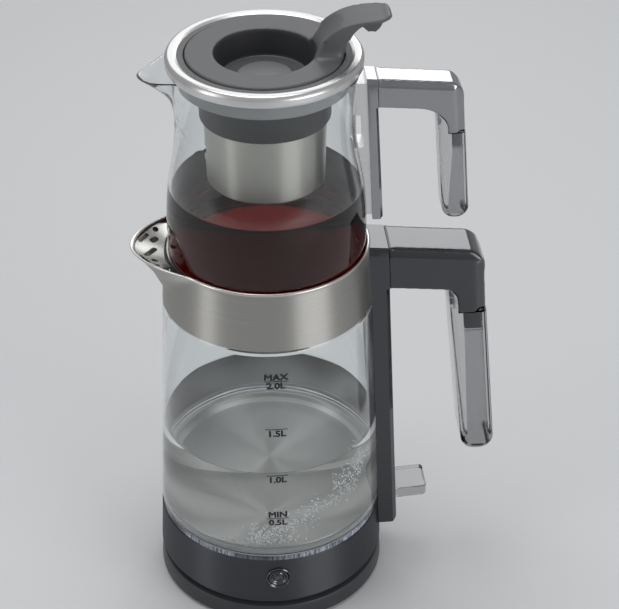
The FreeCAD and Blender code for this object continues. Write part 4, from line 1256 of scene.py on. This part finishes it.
@dataclass
class Teapot:
    """The blown pot with its pulled lip, the tea in it and its handle."""

    floor_z: float = 245.0
    wall: float = 2.2
    rim_z: float = 377.0
    rim_r: float = 56.6
    rim_round: float = 1.0
    steps: int = 160
    crease: float = 60.0
    # The heel's corners as (r, height above the floor, round), outside and inside.
    heel: tuple[Place, ...] = ((0.0, 0.0, 0.0), (57.0, 0.0, 0.0), (61.0, 0.6, 3.0), (61.5, 5.0, 0.0))
    heel_in: tuple[Point, ...] = ((58.4, 3.2), (56.0, 2.2), (0.0, 2.2))
    heel_top: float = 3.0
    body: tuple[Point, ...] = (
        (61.5, 250.0), (62.0, 258.0), (62.1, 268.0), (61.9, 278.0), (61.2, 288.0), (60.0, 299.0),
        (58.3, 308.0), (56.6, 317.0), (55.4, 326.0), (54.7, 335.0), (54.6, 344.0), (54.9, 352.0),
        (55.5, 361.0), (56.1, 370.0))
    # The lip: its keel as (z, x), its tip, and where the glass around it starts to move.
    focal: float = 9.0
    keel: tuple[Point, ...] = (
        (346.0, 51.0), (350.0, 53.0), (358.0, 58.0), (365.0, 66.5), (370.0, 74.0), (378.0, 84.6))
    keel_past: float = 6.0
    tip_z: float = 371.6
    tip_x: float = 77.2
    lip_low_z: float = 340.0
    lip_in_r: float = 40.0
    droop_z: float = 352.0
    pinch: float = 0.62  # how far points gather at the lip, so that it has enough of them
    pinch_turn: float = 0.9
    blend: float = 5.0
    tea_z: float = 295.0
    tea_foot: tuple[Point, ...] = ((0.0, 2.15), (56.0, 2.15), (58.5, 3.1))
    tea_shore: float = 2.0
    climb: float = 1.2
    curve: tuple[Point, ...] = ((0.5, 0.5), (1.4, 0.1), (2.6, 0.0))
    bite: float = 0.12  # how far the tea goes into the glass, so that no gap shows
    skin: float = 0.1
    skin_gap: float = 0.02
    spine_edge: float = 0.9
    voxel: float = 0.6
    turns: int = 9
    seam_x: float = 68.3

    def plain_radius(self, z: float) -> float:
        """The pot's outer radius, away from the lip."""
        points = [(height, r) for r, height in self.body] + [(self.rim_z, self.rim_r)]
        return along(points, z)

    def section(self) -> list[Point]:
        """The wall's section, from the floor's middle up and back down inside.

        Returns:
            Its points, with one where the tea ends.
        """
        outer = rounded([(r, self.floor_z + up, bend) for r, up, bend in self.heel])[:-1]
        shore = self.tea_z + self.climb
        fine = [(self.plain_radius(shore), shore), self.body[-1]]
        for (r0, z0), (r1, z1) in zip(self.body, self.body[1:]):
            fine.extend([(r0, z0), ((r0 + r1) / 2, (z0 + z1) / 2)])
        outer += sorted(fine, key=lambda point: point[1])
        neck_r, neck_z = self.body[-1]
        rim = rounded([(neck_r, neck_z, 0.0), (self.rim_r, self.rim_z, self.rim_round),
                       (self.rim_r - self.wall, self.rim_z, self.rim_round),
                       (neck_r - self.wall, neck_z, 0.0)])[1:-1]
        inner = [(r - self.wall, z) for r, z in reversed(outer[1:]) if z > self.floor_z + self.heel_top]
        return outer + rim + inner + [(r, self.floor_z + up) for r, up in self.heel_in]

    def lip_out(self, turn: float, z: float, level: float) -> float:
        """How far the lip stands out of the plain pot.

        Args:
            turn: Angle from the lip's own direction.
            z: Height on the plain pot.
            level: Height on the keel.

        Returns:
            The distance, or nought where the lip isn't met.
        """
        plain = self.plain_radius(z)
        reach = beak_radius(turn, along(self.keel, level), self.focal)
        return soft_max(plain, reach, self.blend) - plain if reach else 0.0

    def pull_lip(self, place: Vector) -> Vector:
        """Pull a point of the round pot out into the pouring lip.

        Args:
            place: The point, in metres.

        Returns:
            Its new place.
        """
        turn = math.atan2(place.y, -place.x)
        radius = math.hypot(place.x, place.y) / MM
        z = place.z / MM
        if radius < self.lip_in_r or z < self.lip_low_z:
            return place
        turn *= 1 - self.pinch * math.exp(-(turn / self.pinch_turn) ** 2)
        out = self.lip_out(turn, z, min(z, self.tip_z + self.keel_past))
        droop = max(0.0, z - self.droop_z) / (self.rim_z - self.droop_z)
        fall = (self.rim_z - self.tip_z) * min(1.0, out / (self.tip_x - self.rim_r)) * droop
        if out:
            out = self.lip_out(turn, z, z - fall)
        radius += out
        return Vector((-radius * math.cos(turn) * MM, radius * math.sin(turn) * MM, (z - fall) * MM))

    def wetted(self, face: Face) -> bool:
        """Say whether a face of the pot has tea against it."""
        half = self.wall / 2
        return within(face, lambda z: self.plain_radius(z) - half, self.floor_z + half,
                      self.tea_z + self.climb)

    def tea_top(self, depth: float) -> list[Point]:
        """The tea's upper face, that far below its skin."""
        edge = self.plain_radius(self.tea_z) - self.wall + self.bite
        return liquid_top(edge, self.tea_z - depth, self.climb, self.curve)

    def tea_outline(self) -> list[Point]:
        """The tea's outline below its skin.

        Returns:
            Its points, from the middle of the floor up and back to the axis.
        """
        foot = [(r, self.floor_z + up) for r, up in self.tea_foot]
        side = [(r - self.wall + self.bite, z) for r, z in self.body if z < self.tea_z - self.tea_shore]
        return foot + side + self.tea_top(self.skin + self.skin_gap)

    def build(self) -> None:
        """Blow the pot, pull its lip, pour the tea and finish the handle."""
        mesh = shift(mark(spun(self.section(), self.steps), self.wetted), self.pull_lip)
        bmesh.ops.recalc_face_normals(mesh, faces=mesh.faces[:])
        publish("teapot_wall", mesh, Body.TEAPOT, FINISHES[Slot.GLASS], ("teapot_glass",),
                crease_deg=self.crease, second=WETTED_GLASS)
        publish("tea", spun(self.tea_outline()), Body.TEAPOT, FINISHES[Slot.TEA])
        skin = spun(self.tea_top(0.0) + self.tea_top(self.skin)[::-1])
        publish("tea_surface", mark(skin, against_glass), Body.TEAPOT, TEA_SURFACE,
                second=WATER_BODY)
        resurface(Body.TEAPOT, Slot.SATIN, 0.0, "pot_saddle")
        resurface(Body.TEAPOT, Slot.HANDLE_SILVER, self.spine_edge, "pot_spine")
        recast("pot_arm", Body.TEAPOT, Slot.HANDLE_SILVER, self.voxel, self.turns, self.seam_x)
        resurface(Body.TEAPOT, Slot.GRIP, 0.0, "pot_grip")


# ---- lid and infuser ------------------------------------------------------------------------------


@dataclass
class Cover:
    """The ring on the pot's rim, with its seat, skirt and infuser."""

    ring: tuple[Place, ...] = (
        (51.6, 377.05, 0.0), (58.6, 377.05, 0.6), (59.1, 378.4, 0.6), (59.05, 381.8, 2.2),
        (57.6, 384.2, 2.4), (53.6, 384.15, 1.2), (51.6, 383.2, 0.5))
    ring_steps: int = 160
    seat_edge: float = 0.2

    def build(self) -> None:
        """Spin the ring and finish the rest."""
        publish("lid_ring_rolled", spun(rounded(self.ring), self.ring_steps), Body.COVER,
                FINISHES[Slot.SATIN], ("lid_ring",))
        publish("lid_seat_finished", cad_copy("lid_seat"), Body.COVER, FINISHES[Slot.LID_GREY],
                ("lid_seat",), self.seat_edge)
        resurface(Body.COVER, Slot.SILICONE, 0.0, "lid_skirt")
        resurface(Body.COVER, Slot.LID_DARK, 0.0, "infuser_collar")
        resurface(Body.COVER, Slot.POLISHED, 0.0, "infuser_basket")


@dataclass
class Flap:
    """The lid's flap with its bowl and thumb lever."""

    voxel: float = 0.65
    edge_turns: int = 3
    joint_turns: int = 90
    joint_x: float = 27.0
    joint_y: float = 22.0
    joint_z: Point = (381.5, 395.0)
    bowl_r: Point = (18.0, 31.0)
    bowl_z: Point = (367.8, 386.0)
    bowl_slope: float = 0.7
    vent_edge: float = 0.2

    def in_bowl(self, face: Face) -> bool:
        """Say whether a face belongs to the bowl's wall.

        Args:
            face: The face.

        Returns:
            Whether it does.
        """
        centre = face.calc_center_median() / MM
        out = math.hypot(centre.x, centre.y)
        inwards = face.normal.x * centre.x + face.normal.y * centre.y < 0
        near = self.bowl_r[0] < out < self.bowl_r[1] and self.bowl_z[0] < centre.z < self.bowl_z[1]
        return inwards and near and face.normal.z < self.bowl_slope

    def at_joint(self, place: Vector) -> bool:
        """Say whether a place is where the lever grows out of the deck and the bowl."""
        low, high = self.joint_z
        return place.x > self.joint_x and low < place.z < high and abs(place.y) < self.joint_y

    def build(self) -> None:
        """Finish the flap, the vent disc and the pin."""
        flap = remeshed(cad_copy("lid_flap"), self.voxel)
        soften(flap, self.edge_turns)
        soften(flap, self.joint_turns, self.at_joint)
        # The bowl's wall gets a darker grey, which is painted shade.
        publish("lid_flap_finished", mark(flap, self.in_bowl), Body.LID, FINISHES[Slot.LID_GREY],
                ("lid_flap",), crease_deg=CAST_CREASE_DEG, second=BOWL_PAINTED_SHADE)
        resurface(Body.LID, Slot.VENT, self.vent_edge, "vent_disc")
        dress(Body.LID, Slot.FASTENER, "hinge_pin")


# ---- studio ---------------------------------------------------------------------------------------


@dataclass
class Studio:
    """The pale floor, the soft lamps and the camera."""

    lens_mm: float = 113.4
    sensor_mm: float = 36.0
    sight: float = 30.0
    eye: Place = (-0.0636, -1.0319, 0.9013)
    pitch_deg: float = 33.99
    yaw_deg: float = 5.0
    floor_half: float = 6.0
    sky_colour: str = "#f4f4f5"
    sky: float = 0.42
    aim: Place = (0.0, 0.0, 0.22)
    # Each lamp's name, place and size in metres, and power in watts.
    lamps: tuple[tuple[str, Place, Point, float], ...] = (
        ("key_softbox", (1.05, -1.15, 0.6), (1.0, 0.8), 8.0),
        ("back_softbox", (-0.12, 1.25, 1.05), (0.7, 0.5), 1.4),
        ("back_strip", (0.46, 1.2, 1.05), (0.4, 0.6), 2.0),
        ("left_strip", (-1.2, -0.5, 0.6), (0.4, 1.0), 2.6),
        ("top_softbox", (-0.1, 0.2, 1.6), (0.8, 0.8), 7.0))

    def floor(self) -> None:
        """Lay a wide plain floor."""
        mesh = bmesh.new()
        bmesh.ops.create_grid(mesh, x_segments=1, y_segments=1, size=self.floor_half)
        floor = stand("floor", as_data("floor", mesh))
        floor.data.materials.append(PAPER.material())

    def lamp(self, name: str, place: Place, size: Point, power: float) -> None:
        """Hang a soft lamp that faces the object.

        Args:
            name: The lamp's name.
            place: Where it hangs, in metres.
            size: Its width and height in metres.
            power: Its power in watts.
        """
        data = bpy.data.lights.new(name, "AREA")
        data.shape = "RECTANGLE"
        data.size, data.size_y = size
        data.energy = power
        lamp = stand(name, data)
        lamp.visible_transmission = False
        lamp.location = place
        lamp.rotation_euler = (Vector(self.aim) - Vector(place)).to_track_quat("-Z", "Y").to_euler()

    def world(self) -> None:
        """Light everything softly from a pale sky, which glass and metal show too."""
        world = bpy.data.worlds.new("studio")
        bpy.context.scene.world = world
        world.use_nodes = True
        tree = world.node_tree
        tree.nodes.clear()
        sky = add(tree, "ShaderNodeBackground", {"Color": linear(self.sky_colour), "Strength": self.sky})
        add(tree, "ShaderNodeOutputWorld", {"Surface": sky.outputs["Background"]})

    def camera(self) -> None:
        """Set the camera in front of the object and above it, looking down."""
        data = bpy.data.cameras.new("camera")
        data.lens = self.lens_mm
        data.sensor_width = self.sensor_mm
        data.clip_end = self.sight
        camera = stand("camera", data)
        camera.location = self.eye
        turn = (math.radians(90 - self.pitch_deg), 0, math.radians(-self.yaw_deg))
        camera.rotation_euler = Euler(turn, "XYZ")
        bpy.context.scene.camera = camera
        bpy.context.scene.view_settings.view_transform = "Standard"

    def build(self) -> None:
        """Set the floor, lamps, world and camera."""
        self.floor()
        for name, place, size, power in self.lamps:
            self.lamp(name, place, size, power)
        self.world()
        self.camera()


def main() -> None:
    """Build every sub-assembly in order, from the table up."""
    logging.basicConfig(level=logging.INFO, format="%(name)s: %(message)s")
    for assembly in (PowerBase(), KettleFoot(), KettleGlass(), Collar(), LitreScale(), KettleHandle(),
                     Teapot(), Cover(), Flap(), Studio()):
        LOG.info("building %s", type(assembly).__name__)
        assembly.build()


if __name__ == "__main__":
    main()
